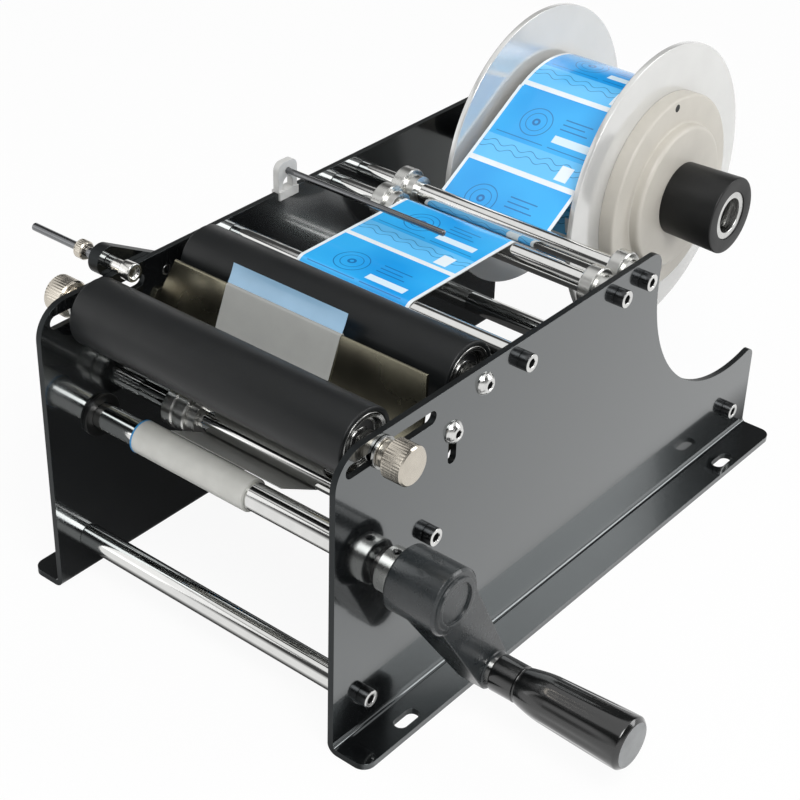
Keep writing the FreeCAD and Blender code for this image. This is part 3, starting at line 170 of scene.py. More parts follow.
def dull_edges(material):
    """The coat is thin and dull on cut edges: faces that look neither along X nor up from the bottom
    flange."""
    tree = material.node_tree
    shader = tree.nodes["Principled BSDF"]
    facing = add(tree, "SeparateXYZ", [add(tree, "TexCoord", out="Normal")], out=None)
    height = add(tree, "SeparateXYZ", [add(tree, "TexCoord", out="Object")], out=2)
    along_x, along_y = [add(tree, "Math", [facing[i]], operation="ABSOLUTE") for i in (0, 1)]
    sideways = add(tree, "MapRange", [along_x, 0.5, 0.8, 1.0, 0.0])
    on_wall = add(tree, "MapRange", [height, BEND_TOP, ABOVE_BEND])
    rim = add(tree, "Math", [sideways, on_wall], operation="MULTIPLY")
    cut = add(tree, "Math", [rim, add(tree, "MapRange", [along_y, 0.7, 0.9])], operation="MAXIMUM")
    rough = shader.inputs["Roughness"].links[0].from_socket
    duller = add(tree, "Math", [cut, 0.3], operation="MULTIPLY")
    tree.links.new(add(tree, "Math", [rough, duller], operation="ADD"), shader.inputs["Roughness"])
    tree.links.new(add(tree, "Math", [1.0, cut], operation="SUBTRACT"), shader.inputs["Coat Weight"])
    tree.links.new(add(tree, "MapRange", [cut, 0.0, 1.0, 0.9, 0.3]), shader.inputs["Specular IOR Level"])


dull_edges(powder_coat)
dress(powder_coat, "left_side_plate", "right_side_plate")


# Cross rods: two tie rods low down and four guide bars, ground and hard chromed steel. Chrome mirrors all
# round it, and only faint grinding marks show. Screws hold their ends to the plates.
def corners(node):
    """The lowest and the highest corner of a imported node, in millimetres."""
    low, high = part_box(node)
    return np.array(low) * 1000, np.array(high) * 1000


def axis(node):
    """The y and z of a turned solid's axis and its largest radius."""
    low, high = corners(node)
    return (low[1] + high[1]) / 2, (low[2] + high[2]) / 2, (high[2] - low[2]) / 2


def shown(name, mesh, sharp=32.0):
    """An object for a mesh, smooth but for edges that turn by more than sharp degrees."""
    mesh.polygons.foreach_set("use_smooth", [True] * len(mesh.polygons))
    mesh.set_sharp_from_angle(angle=math.radians(sharp))
    piece = bpy.data.objects.new(name, mesh)
    bpy.context.scene.collection.objects.link(piece)
    return piece


def surface(name, grid, across, along, paint=None):
    """A skin over grid[row, column], points in millimetres: each four neighbours make a face. across and
    along are the points' UV in millimetres, and paint gives each face's material by row and column."""
    rows, columns = grid.shape[:2]
    mesh = bpy.data.meshes.new(name)
    number = np.arange(rows * columns).reshape(rows, columns)
    faces = np.stack([number[:-1, :-1], number[:-1, 1:], number[1:, 1:], number[1:, :-1]], axis=2)
    faces = faces.reshape(-1, 4)
    mesh.from_pydata((grid.reshape(-1, 3) / 1000.0).tolist(), [], faces.tolist())
    place = np.stack([across.ravel(), along.ravel()], axis=1)
    mesh.uv_layers.new(name="UVMap").data.foreach_set("uv", place[faces.ravel()].ravel())
    if paint is not None:
        mesh.polygons.foreach_set("material_index", np.asarray(paint, int).ravel())
    body = bmesh.new()
    body.from_mesh(mesh)
    bmesh.ops.remove_doubles(body, verts=body.verts, dist=2e-6)
    bmesh.ops.dissolve_degenerate(body, edges=body.edges, dist=2e-6)
    bmesh.ops.recalc_face_normals(body, faces=body.faces)
    body.to_mesh(mesh)
    body.free()
    return shown(name, mesh)


def eased(points, closed):
    """A profile of (x, radius, rounding): each corner with a rounding becomes a parabola that starts and
    ends that far from it, and at most half a side away."""
    line = []
    count = len(points)
    for index, (x, radius, *rounding) in enumerate(points):
        if not rounding or (not closed and index in (0, count - 1)):
            line.append((x, radius))
            continue
        here = np.array([x, radius])
        before = np.array(points[index - 1][:2]) - here
        after = np.array(points[(index + 1) % count][:2]) - here
        reach = min(rounding[0], 0.48 * np.linalg.norm(before), 0.48 * np.linalg.norm(after))
        start = here + before / np.linalg.norm(before) * reach
        end = here + after / np.linalg.norm(after) * reach
        t = np.linspace(0, 1, 5)[:, None]
        line += [tuple(point) for point in (1 - t) ** 2 * start + 2 * t * (1 - t) * here + t * t * end]
    return np.array(line + line[:1] if closed else line)


def lathe(name, y, z, profile, closed=False, turns=96, shape=None, paint=None, start=0.0):
    """A turned piece: each profile point (x, radius) goes round the line through y and z along X, at the
    places x, y + radius cos(turn), z + radius sin(turn). shape changes the radius by x, radius and turn,
    and paint gives a material's number from x and radius."""
    line = eased(profile, closed)
    length = np.concatenate([[0], np.cumsum(np.hypot(*np.diff(line, axis=0).T))])
    turn = np.repeat(start + np.linspace(0, 2 * math.pi, turns + 1)[None, :], len(line), axis=0)
    x = np.repeat(line[:, :1], turns + 1, axis=1)
    radius = np.repeat(line[:, 1:], turns + 1, axis=1)
    if shape:
        radius = shape(x, radius, turn)
    grid = np.stack([x, y + radius * np.cos(turn), z + radius * np.sin(turn)], axis=2)
    grid[:, -1] = grid[:, 0]
    strips = None
    if paint:
        middle = (line[1:] + line[:-1]) / 2
        strips = np.repeat([[paint(*point)] for point in middle], turns, axis=1)
    along = np.repeat(length[:, None], turns + 1, axis=1)
    return surface(name, grid, turn * np.maximum(radius, 3.0), along, strips)


def join(name, pieces):
    """Several pieces as the parts of one object."""
    body = bmesh.new()
    for piece in pieces:
        body.from_mesh(piece.data)
        bpy.data.objects.remove(piece)
    mesh = bpy.data.meshes.new(name)
    body.to_mesh(mesh)
    body.free()
    return shown(name, mesh)


body_of = {node: body for body, nodes in frame["record"]["behaviour"]["bodies"].items() for node in nodes}


def fit(piece, node, *materials):
    """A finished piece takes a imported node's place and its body."""
    for material in materials:
        piece.data.materials.append(material)
    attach(piece, body_of[node])
    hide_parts(node)
    return piece


def rod(name, y, z, radius, left, right, edge=0.4):
    """A ground rod whose end faces are eased by edge."""
    return lathe(name, y, z, [(left, 0), (left, radius, edge), (right, radius, edge), (right, 0)], turns=72)


hard_chrome = finish("hard_chromed_steel", "#dcdcda", 0.07, metallic=1.0, mottle=0.03, bump=0.02, turned=0.06)
LEFT_FACE = corners("left_side_plate")[1][0]
RIGHT_FACE = corners("right_side_plate")[0][0]
MIDDLE = (LEFT_FACE + RIGHT_FACE) / 2
BARS = {name: axis(name) for name in ("rear_guide_bar", "front_guide_bar", "turning_bar", "liner_guide_bar")}
for name, (y, z, radius) in BARS.items():
    fit(rod(name + "_rod", y, z, radius, LEFT_FACE, RIGHT_FACE), name, hard_chrome)
TIE_RADIUS = 6.0
low, high = corners("tie_rods")
TIES = [(low[1] + TIE_RADIUS, low[2] + TIE_RADIUS), (high[1] - TIE_RADIUS, high[2] - TIE_RADIUS)]
pair = [rod("tie", *spot, TIE_RADIUS, LEFT_FACE, RIGHT_FACE) for spot in TIES]
fit(join("tie_rods_pair", pair), "tie_rods", hard_chrome)


# Screws: M5 socket cap screws into the ends of all six rods, button heads for the rear roller's axle, the
# stop's pivot and the peel plate. Black oxide has worn bright on the faces, and the sockets are painted near
# black as the shade in their recesses.
PLATE_THICKNESS, SCREW_RADIUS = 3.0, 2.5
CAP_RADIUS, CAP_HEIGHT, CAP_FLATS, CAP_SOCKET = 4.25, 5.0, 4.0, 2.4
BUTTON_RADIUS, BUTTON_HEIGHT, BUTTON_FLATS, BUTTON_SOCKET = 5.3, 3.0, 3.4, 1.9
black_oxide = finish("black_oxide_steel", "#4a4b4c", 0.28, metallic=1.0, bump=0.1, bump_size=0.4)
bright_steel = finish("worn_bright_steel", "#d8d8d6", 0.2, metallic=1.0, turned=0.3)
painted_socket_shade = finish("socket_painted_shade", "#08090a", 0.5)


def screw(side, face, y, z, reach, flats, depth, head):
    """A socket screw whose head stands on the plane x = face and points to side. Everything is turned but
    the socket, where the radius is flats / 2 / cos(turn), which is a hexagon."""
    top = head[-1][0]
    out = [(-reach, 0), (-reach, SCREW_RADIUS, 0.3), (0, SCREW_RADIUS), *head, (top, flats * 0.62, 0.1),
           (top - 0.3, flats / 2), (top - depth, flats / 2), (top - depth, 0)]
    low, high = sorted((face + side * (top - depth - 0.01), face + side * (top - 0.29)))

    def hexagon(x, radius, turn):
        wall = 1 / np.cos(np.mod(turn, math.pi / 3) - math.pi / 6)
        socket = (radius > 0.3) & (radius < flats * 0.62) & (x >= low) & (x <= high)
        return np.where(socket, wall * radius, radius)

    def paint(x, radius):
        raised = (x - face) * side
        if raised > top - 0.2 and radius > flats / 2:
            return 1
        # Material 2, the socket's walls and floor, is painted near black as the shade in the recess.
        return 2 if radius < flats * 0.6 and raised > top - depth - 0.1 else 0

    profile = [(face + side * point[0], *point[1:]) for point in out]
    return lathe("screw", y, z, profile, turns=60, shape=hexagon, paint=paint)


def cap_screw(side, y, z):
    """A cylinder head on the outside of a plate."""
    face = (RIGHT_FACE if side > 0 else LEFT_FACE) + side * PLATE_THICKNESS
    head = [(0, CAP_RADIUS, 0.2), (CAP_HEIGHT, CAP_RADIUS, 0.55)]
    return screw(side, face, y, z, 15.0, CAP_FLATS, CAP_SOCKET, head)


def button_screw(side, face, y, z, reach):
    """A domed head."""
    head = [(0, BUTTON_RADIUS), (0.5, BUTTON_RADIUS, 0.4), (1.6, BUTTON_RADIUS * 0.86, 1.2),
            (BUTTON_HEIGHT, BUTTON_RADIUS * 0.58, 0.5)]
    return screw(side, face, y, z, reach, BUTTON_FLATS, BUTTON_SOCKET, head)


caps = [cap_screw(side, *spot[:2]) for spot in [*BARS.values(), *TIES] for side in (1, -1)]
fit(join("bar_end_screw_set", caps), "bar_end_screws", black_oxide, bright_steel, painted_socket_shade)
y, z, radius = axis("rear_roller_cover")
OUTER = (LEFT_FACE - PLATE_THICKNESS, RIGHT_FACE + PLATE_THICKNESS)
buttons = [button_screw(side, face, y, z, 15.0) for side, face in zip((-1, 1), OUTER)]
low, high = corners("frame_button_screws")
pivot_face, y, z = low[0] + BUTTON_HEIGHT, low[1] + BUTTON_RADIUS, low[2] + BUTTON_RADIUS
buttons.append(button_screw(-1, pivot_face, y, z, LEFT_FACE - pivot_face))
fit(join("frame_button_screw_set", buttons), "frame_button_screws", bright_steel, bright_steel, painted_socket_shade)
low, high = corners("peel_plate_screws")
y, z = (low[1] + high[1]) / 2, (low[2] + high[2]) / 2
buttons = [button_screw(side, face + side * 0.1, y, z, 5.7) for side, face in zip((-1, 1), OUTER)]
fit(join("peel_screw_set", buttons), "peel_plate_screws", bright_steel, bright_steel, painted_socket_shade)


# Bottle rollers: a rubber cover on a steel tube, with a sealed ball bearing set back in each end. The
# rubber is ground, matte and dark with a soft sheen along the top.
ground_rubber = finish("ground_nitrile_rubber", "#111314", 0.4, cloud=9, bump=0.25, bump_size=0.35, ior=1.52,
                       specular_ior_level=0.3)
bearing_steel = finish("ground_bearing_steel", "#a8a8a6", 0.22, metallic=1.0, turned=0.3)
black_seal = finish("moulded_black_seal", "#141516", 0.42, bump=0.25, bump_size=0.4, ior=1.52)
COVER_WALL, TUBE_WALL, BEARING_WIDTH, BEARING_SETBACK = 2.5, 2.3, 7.0, 2.5
AXLE_BORE, SEAL_INNER, SEAL_OUTER, SEAL_DEPTH = 4.05, 6.2, 8.9, 0.6


def ring_profile(left, right, outer, inner, edge):
    """The closed profile of a plain ring with all four edges eased."""
    return [(left, inner, edge), (left, outer, edge), (right, outer, edge), (right, inner, edge)]


def bottle_roller(name):
    """Cover, tube and two bearings, each with a groove for its seal near the outer face."""
    low, high = corners(name + "_cover")
    y, z, radius = axis(name + "_cover")
    bore = radius - COVER_WALL
    cover = ring_profile(low[0], high[0], radius, bore + 0.02, 0.9)
    fit(lathe(name + "_sleeve", y, z, cover, closed=True, turns=128), name + "_cover", ground_rubber)
    tube = ring_profile(low[0], high[0], bore, bore - TUBE_WALL, 0.4)
    fit(lathe(name + "_pipe", y, z, tube, closed=True), name + "_tube", bearing_steel)
    pair = []
    for side, end in ((-1, low[0]), (1, high[0])):
        outer = end - side * BEARING_SETBACK
        inner = outer - side * BEARING_WIDTH
        seal = outer - side * SEAL_DEPTH
        wide = bore - TUBE_WALL - 0.02
        profile = [(inner, AXLE_BORE, 0.2), (inner, wide, 0.2), (outer, wide, 0.3), (outer, 9.2, 0.2),
                   (seal, SEAL_OUTER, 0.1), (seal, SEAL_INNER, 0.1), (outer, 5.9, 0.2),
                   (outer, AXLE_BORE, 0.2)]
        pair.append(lathe("ring", y, z, profile, closed=True,
                          paint=lambda x, r, seal=seal: 1 if 6.1 < r < 9 and abs(x - seal) < 0.7 else 0))
    fit(join(name + "_bearing_pair", pair), name + "_bearings", bearing_steel, black_seal)


bottle_roller("rear_roller")
bottle_roller("front_roller")
y, z, radius = axis("rear_roller_axle")
fit(rod("rear_axle", y, z, radius, LEFT_FACE, RIGHT_FACE), "rear_roller_axle", hard_chrome)
for name in ("rear_roller_spacers", "front_roller_spacers"):
    low, high = corners(name)
    y, z, radius = axis(name)
    roller_low, roller_high = corners(name.replace("spacers", "bearings"))
    pair = [lathe("sleeve", y, z, ring_profile(*ends, radius, AXLE_BORE, 0.4), closed=True)
            for ends in ((low[0], roller_low[0]), (roller_high[0], high[0]))]
    fit(join(name + "_pair", pair), name, bearing_steel)


# Front axle: it slides in the plates' slots and is clamped there by a thumb nut on each end. Nickel plated
# nuts with a knurled head, a neck, and a washer under them.
nickel_plate = finish("nickel_plated_brass", "#c9c2b6", 0.24, metallic=1.0, mottle=0.06, turned=0.3)
AXLE_RADIUS, STUD_RADIUS, STUD_BORE = 4.0, 3.0, 3.05
low, high = corners("front_roller_axle")
y, z, radius = axis("front_roller_axle")
spacer_low, spacer_high = corners("front_roller_spacers")
axle_line = [(low[0], 0), (low[0], STUD_RADIUS, 0.5), (spacer_low[0], STUD_RADIUS),
             (spacer_low[0], AXLE_RADIUS, 0.3), (spacer_high[0], AXLE_RADIUS, 0.3),
             (spacer_high[0], STUD_RADIUS), (high[0], STUD_RADIUS, 0.5), (high[0], 0)]
fit(lathe("front_axle", y, z, axle_line), "front_roller_axle", hard_chrome)
WASHER_THICKNESS, NECK_RADIUS, NECK_LENGTH, NUT_CHAMFER, NUT_WALL = 1.5, 6.0, 4.0, 0.8, 2.5
KNURL_TEETH, KNURL_DEPTH = 40, 0.3
low, high = corners("front_roller_washers")
washer_radius = axis("front_roller_washers")[2]
washers = [ring_profile(left, left + WASHER_THICKNESS, washer_radius, STUD_BORE, 0.3)
           for left in (low[0], high[0] - WASHER_THICKNESS)]
pair = [lathe("washer", y, z, washer, closed=True) for washer in washers]
fit(join("axle_washer_pair", pair), "front_roller_washers", bearing_steel)


def thumb_nut(name, side):
    """A neck and a head, turned; the head's radius drops by a saw of the turn, 40 teeth of 0.3 mm, between
    its chamfers, which is a straight knurl drawn a little coarse."""
    low, high = corners(name)
    y, z, radius = axis(name)
    face, end = (low[0], high[0]) if side > 0 else (high[0], low[0])
    length = abs(end - face)
    out = [(0, STUD_BORE), (0, NECK_RADIUS, 0.4), (NECK_LENGTH, NECK_RADIUS, 0.3),
           (NECK_LENGTH, radius - NUT_CHAMFER), (NECK_LENGTH + NUT_CHAMFER, radius),
           (NECK_LENGTH + 1.6, radius), (length - 1.6, radius), (length - NUT_CHAMFER, radius),
           (length, radius - NUT_CHAMFER, 0.3), (length, 0), (length - NUT_WALL, 0),
           (length - NUT_WALL, STUD_BORE), (0, STUD_BORE)]

    def knurl(x, r, turn):
        tooth = np.abs(np.mod(turn * KNURL_TEETH / (2 * math.pi), 1.0) - 0.5) * 2.0
        far = np.abs(x - face)
        rim = (far > NECK_LENGTH + 1.2) & (far < length - 1.2) & (r > radius - 1)
        return np.where(rim, r - KNURL_DEPTH * tooth, r)

    nut = lathe(name + "_turned", y, z, [(face + side * p[0], *p[1:]) for p in out], turns=160, shape=knurl)
    fit(nut, name, nickel_plate)


thumb_nut("right_thumb_nut", 1)
thumb_nut("left_thumb_nut", -1)


# Peel plate: a folded stainless sheet with a small rounded edge, over which the liner turns back so that
# the label lets go. It widens towards its foot, where the cheeks that screw to the side plates are folded
# back. Its rolled surface is a little cloudy and warm.
rolled_stainless = finish("rolled_stainless_steel", "#918d7b", 0.26, metallic=1.0, mottle=0.15, cloud=12,
                          bump=0.08, bump_size=0.5, edge=0.4)
WEB_THICKNESS, EDGE_RADIUS, BLADE_LENGTH, BLADE_LEAN = 0.4, 1.2, 48.0, math.radians(22)
NOSE, SHEET_HALF, BLADE_TOP, FULL_WIDTH_AT, THINNED = 0.95, 0.75, 72.4, 38.0, 12.0
CHEEK_THICKNESS, CHEEK_HOLE = 1.5, 2.6
low, high = corners("web_front_run")
EDGE = (low[1], high[2] - EDGE_RADIUS - WEB_THICKNESS / 2, EDGE_RADIUS)
low, high = corners("peel_plate")
CHEEK_FACE = (high[0] - low[0]) / 2


def on_blade(down, back):
    """The y and z of points that far down the blade's middle plane from its edge, and that far behind
    it."""
    return (EDGE[0] - down * math.sin(BLADE_LEAN) + back * math.cos(BLADE_LEAN),
            EDGE[1] - down * math.cos(BLADE_LEAN) - back * math.sin(BLADE_LEAN))


def blade():
    """A flat bar's outline of two half circles, the edge's a little fuller, and the sides between them,
    drawn from end to end. Half its width grows evenly down the blade until it is full, and both ends close
    on the middle plane."""
    turn = np.linspace(0, math.pi, 13)
    down = np.concatenate([-NOSE * np.sin(turn), [THINNED], BLADE_LENGTH + SHEET_HALF * np.sin(turn),
                           [THINNED, 0.0]])
    back = np.concatenate([NOSE * np.cos(turn), [-SHEET_HALF], -SHEET_HALF * np.cos(turn),
                           [SHEET_HALF, NOSE]])
    width = BLADE_TOP + (CHEEK_FACE - 0.2 - BLADE_TOP) * np.clip(down / FULL_WIDTH_AT, 0, 1)
    share = np.array([-1, -1, -0.5, 0, 0.5, 1, 1])[:, None]
    y, z = on_blade(down, back * np.array([0, 1, 1, 1, 1, 1, 0])[:, None])
    grid = np.stack([MIDDLE + share * width, y, z], axis=2)
    return surface("blade", grid, grid[:, :, 0], np.repeat(down[None, :], 7, axis=0))


def cheek(side):
    """A plate with a round hole: rays from the hole's middle, each from the hole to the outline's nearest
    side."""
    y, z = SCREW_SPOT
    outline = np.array([on_blade(26, 0), on_blade(42, 0), on_blade(42, 9.5), (y + 8, z - 8), (y + 8, z + 6),
                        (y - 5.5, z + 6)])
    along = np.roll(outline, -1, axis=0) - outline
    outward = np.stack([along[:, 1], -along[:, 0]], axis=1)
    from_hole = outline - SCREW_SPOT
    angles = [np.linspace(0, 2 * math.pi, 48, endpoint=False), np.arctan2(*from_hole.T[::-1]) % (2 * math.pi)]
    turn = np.sort(np.concatenate(angles))
    turn = np.append(turn, turn[0])
    ray = np.stack([np.cos(turn), np.sin(turn)], axis=1)
    facing = ray @ outward.T
    crossing = (outward * from_hole).sum(axis=1) / np.maximum(facing, 1e-6)
    reach = np.where(facing > 1e-6, crossing, 1e9).min(axis=1)
    far = np.array([CHEEK_HOLE, 0, 0, CHEEK_HOLE, CHEEK_HOLE])[:, None]
    far = far + reach * np.array([0, 1, 1, 0, 0])[:, None]
    x = MIDDLE + side * (CHEEK_FACE - CHEEK_THICKNESS * np.array([0, 0, 1, 1, 0])[:, None]) + 0 * far
    grid = np.stack([x, y + far * ray[:, 0], z + far * ray[:, 1]], axis=2)
    return surface("cheek", grid, far, turn * CHEEK_HOLE + 0 * far)


low, high = corners("peel_plate_screws")
SCREW_SPOT = ((low[1] + high[1]) / 2, (low[2] + high[2]) / 2)
fit(join("peel_blade", [blade(), cheek(-1), cheek(1)]), "peel_plate", rolled_stainless)


# Take-up shaft: a chromed rod through both plates in black flanged bushes. The empty liner is wound on it
# in a slow spiral, with a blue edge at its left end where the liner starts.
wound_paper = finish("wound_glassine_liner", "#c0c0bb", 0.32, mottle=0.05, cloud=9, bump=0.15, bump_size=2.0)
blue_tape = finish("blue_tape_edge", "#2b86c0", 0.4)
moulded_nylon = finish("moulded_black_nylon", "#0c0d0d", 0.42, bump=0.2, bump_size=0.4, ior=1.53,
                       specular_ior_level=0.35)
SHAFT_Y, SHAFT_Z, SHAFT_RADIUS = axis("take_up_shaft")
low, high = corners("take_up_shaft")
fit(rod("winding_shaft", SHAFT_Y, SHAFT_Z, SHAFT_RADIUS, low[0], high[0], 0.6), "take_up_shaft", hard_chrome)
low, high = corners("liner_roll")
WOUND_RADIUS = axis("liner_roll")[2]
WOUND_START, TAPE_WIDTH, SPIRAL_PITCH, SPIRAL_STEP = low[0] + 6.0, 0.9, 37.0, 0.3
inner = SHAFT_RADIUS + 0.05
wound_line = [(WOUND_START, inner), (WOUND_START, WOUND_RADIUS, 0.2), (WOUND_START + 1.0, WOUND_RADIUS),
              (high[0], WOUND_RADIUS, 0.3), (high[0], inner)]


def spiral(x, radius, turn):
    """The liner's outer edge runs round the shaft once in a pitch and steps down there."""
    step = np.mod((x - WOUND_START) / SPIRAL_PITCH + turn / (2 * math.pi), 1.0)
    paper = (radius > WOUND_RADIUS - 0.5) & (x > WOUND_START + TAPE_WIDTH)
    return np.where(paper, radius - SPIRAL_STEP * step, radius)


wound = lathe("wound_liner", SHAFT_Y, SHAFT_Z, wound_line, turns=72, shape=spiral,
              paint=lambda x, r: 1 if WOUND_START < x < WOUND_START + TAPE_WIDTH else 0)
fit(wound, "liner_roll", wound_paper, blue_tape)
BUSH_RADIUS, BUSH_FLANGE = 8.5, 2.0
flange_radius = axis("take_up_bushes")[2]
pair = []
ends = [corner[0] for corner in corners("take_up_bushes")]
for side, end, face in zip((-1, 1), ends, (LEFT_FACE, RIGHT_FACE)):
    out = [(face - side * BUSH_FLANGE, inner, 0.2), (face - side * BUSH_FLANGE, flange_radius, 0.5),
           (face, flange_radius, 0.2), (face, BUSH_RADIUS), (end, BUSH_RADIUS, 0.3), (end, inner, 0.2)]
    pair.append(lathe("bush", SHAFT_Y, SHAFT_Z, out, closed=True))
fit(join("shaft_bush_pair", pair), "take_up_bushes", moulded_nylon)


# Crank: a cast arm on a clamping collar, its set screws, and a spindle for the grip. The casting is
# enamelled dark grey over a slightly rough skin, the collar is turned steel.
grey_enamel = finish("grey_enamelled_casting", "#222628", 0.27, mottle=0.15, cloud=4, bump=0.5, bump_size=0.8,
                     edge=0.8, coat_weight=0.2)
turned_collar = finish("turned_collar_steel", "#c9c9c6", 0.27, metallic=1.0, mottle=0.05, edge=0.25)
dress(grey_enamel, "crank_arm")
dress(turned_collar, "crank_collar")
dress(black_oxide, "crank_set_screws")
dress(hard_chrome, "grip_spindle")


# Grip: a moulded black handle with a waist near the arm, shallow flutes that die out towards both ends, and
# a grey cap in its end face. Gloss from the mould.
gloss_grip = finish("gloss_black_phenolic", "#0b0c0c", 0.18, bump=0.05, bump_size=2.0, coat_weight=0.7,
                    coat_roughness=0.08, ior=1.55)
grip_cap = finish("grey_end_cap", "#7c7e7f", 0.35, bump=0.1)
low, high = corners("crank_grip")
GRIP_Y, GRIP_Z, GRIP_RADIUS = axis("crank_grip")
GRIP_START, GRIP_END, GRIP_NECK, SPINDLE_BORE = low[0], high[0], 8.5, 4.2
FLUTES, FLUTE_DEPTH, FLUTES_FROM, FLUTES_LONG = 12, 0.42, 22, 44


def fluted(x, radius, turn):
    """The radius drops in twelve rounded flutes whose depth is half a sine of the place along the grip."""
    share = np.clip((x - GRIP_START - FLUTES_FROM) / FLUTES_LONG, 0, 1)
    depth = FLUTE_DEPTH * np.sin(np.pi * share) * (radius > 7)
    return radius - depth * (0.5 + 0.5 * np.cos(FLUTES * turn)) ** 1.5


grip_line = [(12, GRIP_NECK, 0.5), (12.4, 7.7, 0.3), (13.2, 7.7, 0.3), (13.6, GRIP_NECK, 0.4)]
grip_line += [(x, GRIP_NECK + 2.3 * math.sin(math.pi / 2 * (x - 13.6) / 15.6))
              for x in np.linspace(16, 29, 6)]
grip_line += [(29.2, 10.8), (40, 11.3), (53, 11.85), (62, 12.15), (66.2, GRIP_RADIUS, 0.6), (68, 10.4, 0.5),
              (68, 0), (65, 0), (65, SPINDLE_BORE), (0, SPINDLE_BORE), (0, GRIP_NECK, 0.8),
              (12, GRIP_NECK, 0.5)]
grip_line = [(GRIP_START + point[0], *point[1:]) for point in grip_line]
handle = lathe("crank_handle", GRIP_Y, GRIP_Z, grip_line, turns=144, shape=fluted,
               paint=lambda x, r: 1 if x > GRIP_END - 0.3 and r < 10.2 else 0)
fit(handle, "crank_grip", gloss_grip, grip_cap)


# Label reel, left: the chromed shaft with its collar, a flanged bearing on the plate, an ivory drum that
# fills the card core, and a clear disc that looks pale grey against the roll.
ivory_acetal = finish("turned_ivory_acetal", "#bdb9b0", 0.38, mottle=0.03, cloud=11, bump=0.12, bump_size=0.8,
                      ior=1.48)
disc_acrylic = finish("frosted_clear_acrylic", "#d2d2d0", 0.17, metallic=0.3, mottle=0.03, cloud=25,
                      turned=0.12, coat_weight=0.5)
kraft_card = finish("wound_kraft_card", "#a08562", 0.8, bump=0.3)
dress(turned_collar, "reel_shaft_collar")
REEL_Y, REEL_Z, REEL_RADIUS = axis("reel_shaft")
low, high = corners("reel_shaft")
shaft_line = [(low[0], 0), (low[0], REEL_RADIUS, 0.6), (high[0], REEL_RADIUS, 0.6), (high[0], 3.2),
              (high[0] - 0.8, 2.8), (high[0] - 0.8, 0)]
# The shaft's end face and its centre hole, deep in the cap's bore, take the black nylon material as painted
# shade for the dark bore.
shaft = lathe("reel_axle", REEL_Y, REEL_Z, shaft_line, turns=72,
              paint=lambda x, r: 1 if x > high[0] - 0.9 and r < 5.6 else 0)
fit(shaft, "reel_shaft", hard_chrome, moulded_nylon)
BORE, SPIGOT_RADIUS, HUB_SLACK = REEL_RADIUS + 0.05, 12.0, 0.25
low, high = corners("reel_bearing")
radius = axis("reel_bearing")[2]
line = [(low[0], BORE), (low[0], radius, 0.6), (low[0] + 4, radius, 0.8), (low[0] + 4, SPIGOT_RADIUS),
        (high[0], SPIGOT_RADIUS, 0.4), (high[0], BORE)]
fit(lathe("reel_flange_bearing", REEL_Y, REEL_Z, line, closed=True), "reel_bearing", moulded_nylon)
low, high = corners("left_hub")
DRUM_RADIUS = axis("left_hub")[2]
line = [(low[0], BORE), (low[0], SPIGOT_RADIUS, 0.5), (low[0] + 16, SPIGOT_RADIUS),
        (low[0] + 16, DRUM_RADIUS, 0.6), (high[0], DRUM_RADIUS, 0.8), (high[0], BORE)]
fit(lathe("left_drum", REEL_Y, REEL_Z, line, closed=True), "left_hub", ivory_acetal)
for name, bore in (("left_disc", SPIGOT_RADIUS + 0.05), ("right_disc", DRUM_RADIUS + 0.05)):
    low, high = corners(name)
    line = ring_profile(low[0], high[0], axis(name)[2], bore, 0.5)
    fit(lathe(name + "_plate", REEL_Y, REEL_Z, line, closed=True, turns=160), name, disc_acrylic)
low, high = corners("label_core")
CORE_RADIUS = axis("label_core")[2]
tube = ring_profile(low[0], high[0], CORE_RADIUS, DRUM_RADIUS + 0.1, 0.3)
fit(lathe("card_tube", REEL_Y, REEL_Z, tube, closed=True), "label_core", kraft_card)


# Label reel, right: an ivory hub turned in steps with one drive hole, drawn as a near black disc on its
# face as painted shade, and a black cap with an aluminium ring set into its mouth. They pull off with the
# disc when the roll is changed. Turning marks streak the ring.
turned_aluminium = finish("turned_aluminium", "#cfcfcd", 0.25, metallic=1.0, turned=0.35)
low, high = corners("stepped_hub")
HUB_RADIUS, HUB_STEP = axis("stepped_hub")[2], 37.5
hub_bore, face = BORE + HUB_SLACK, low[0] + 28
line = [(low[0], hub_bore), (low[0], DRUM_RADIUS, 0.8), (low[0] + 20, DRUM_RADIUS),
        (low[0] + 20, HUB_RADIUS, 0.4), (face, HUB_RADIUS, 1.6), (face, HUB_STEP + 1.0, 0.5),
        (face + 0.5, HUB_STEP, 0.2), (high[0], HUB_STEP, 2.8), (high[0], hub_bore)]
hub = lathe("hub_turning", REEL_Y, REEL_Z, line, closed=True, turns=160)
HOLE_REACH, HOLE_TURN, HOLE_RADIUS = 47.7, math.radians(92.6), 1.6
# The drive hole is no hole: a thin disc on the step's face in the near black socket material, painted shade
# standing in for the hole's depth.
line = [(face - 0.1, 0), (face - 0.1, 2.0), (face + 0.05, 2.0, 0.05), (face + 0.05, HOLE_RADIUS, 0.05),
        (face + 0.02, 0)]
y, z = REEL_Y + HOLE_REACH * math.cos(HOLE_TURN), REEL_Z + HOLE_REACH * math.sin(HOLE_TURN)
painted_hole_shade = lathe("drive_hole", y, z, line, turns=32, paint=lambda x, r: 1)
fit(join("hub_with_painted_hole", [hub, painted_hole_shade]), "stepped_hub", ivory_acetal, painted_socket_shade)
low, high = corners("reel_cap")
CAP_END_RADIUS, RING_BORE, RING_OUTER = axis("reel_cap")[2], 9.0, 12.5
ring_low, ring_high = corners("cap_ring")
line = [(low[0], hub_bore), (low[0], CAP_END_RADIUS - 1.05, 0.4), (high[0], CAP_END_RADIUS, 1.0),
        (high[0], RING_OUTER, 0.3), (ring_low[0], RING_OUTER), (ring_low[0], hub_bore)]
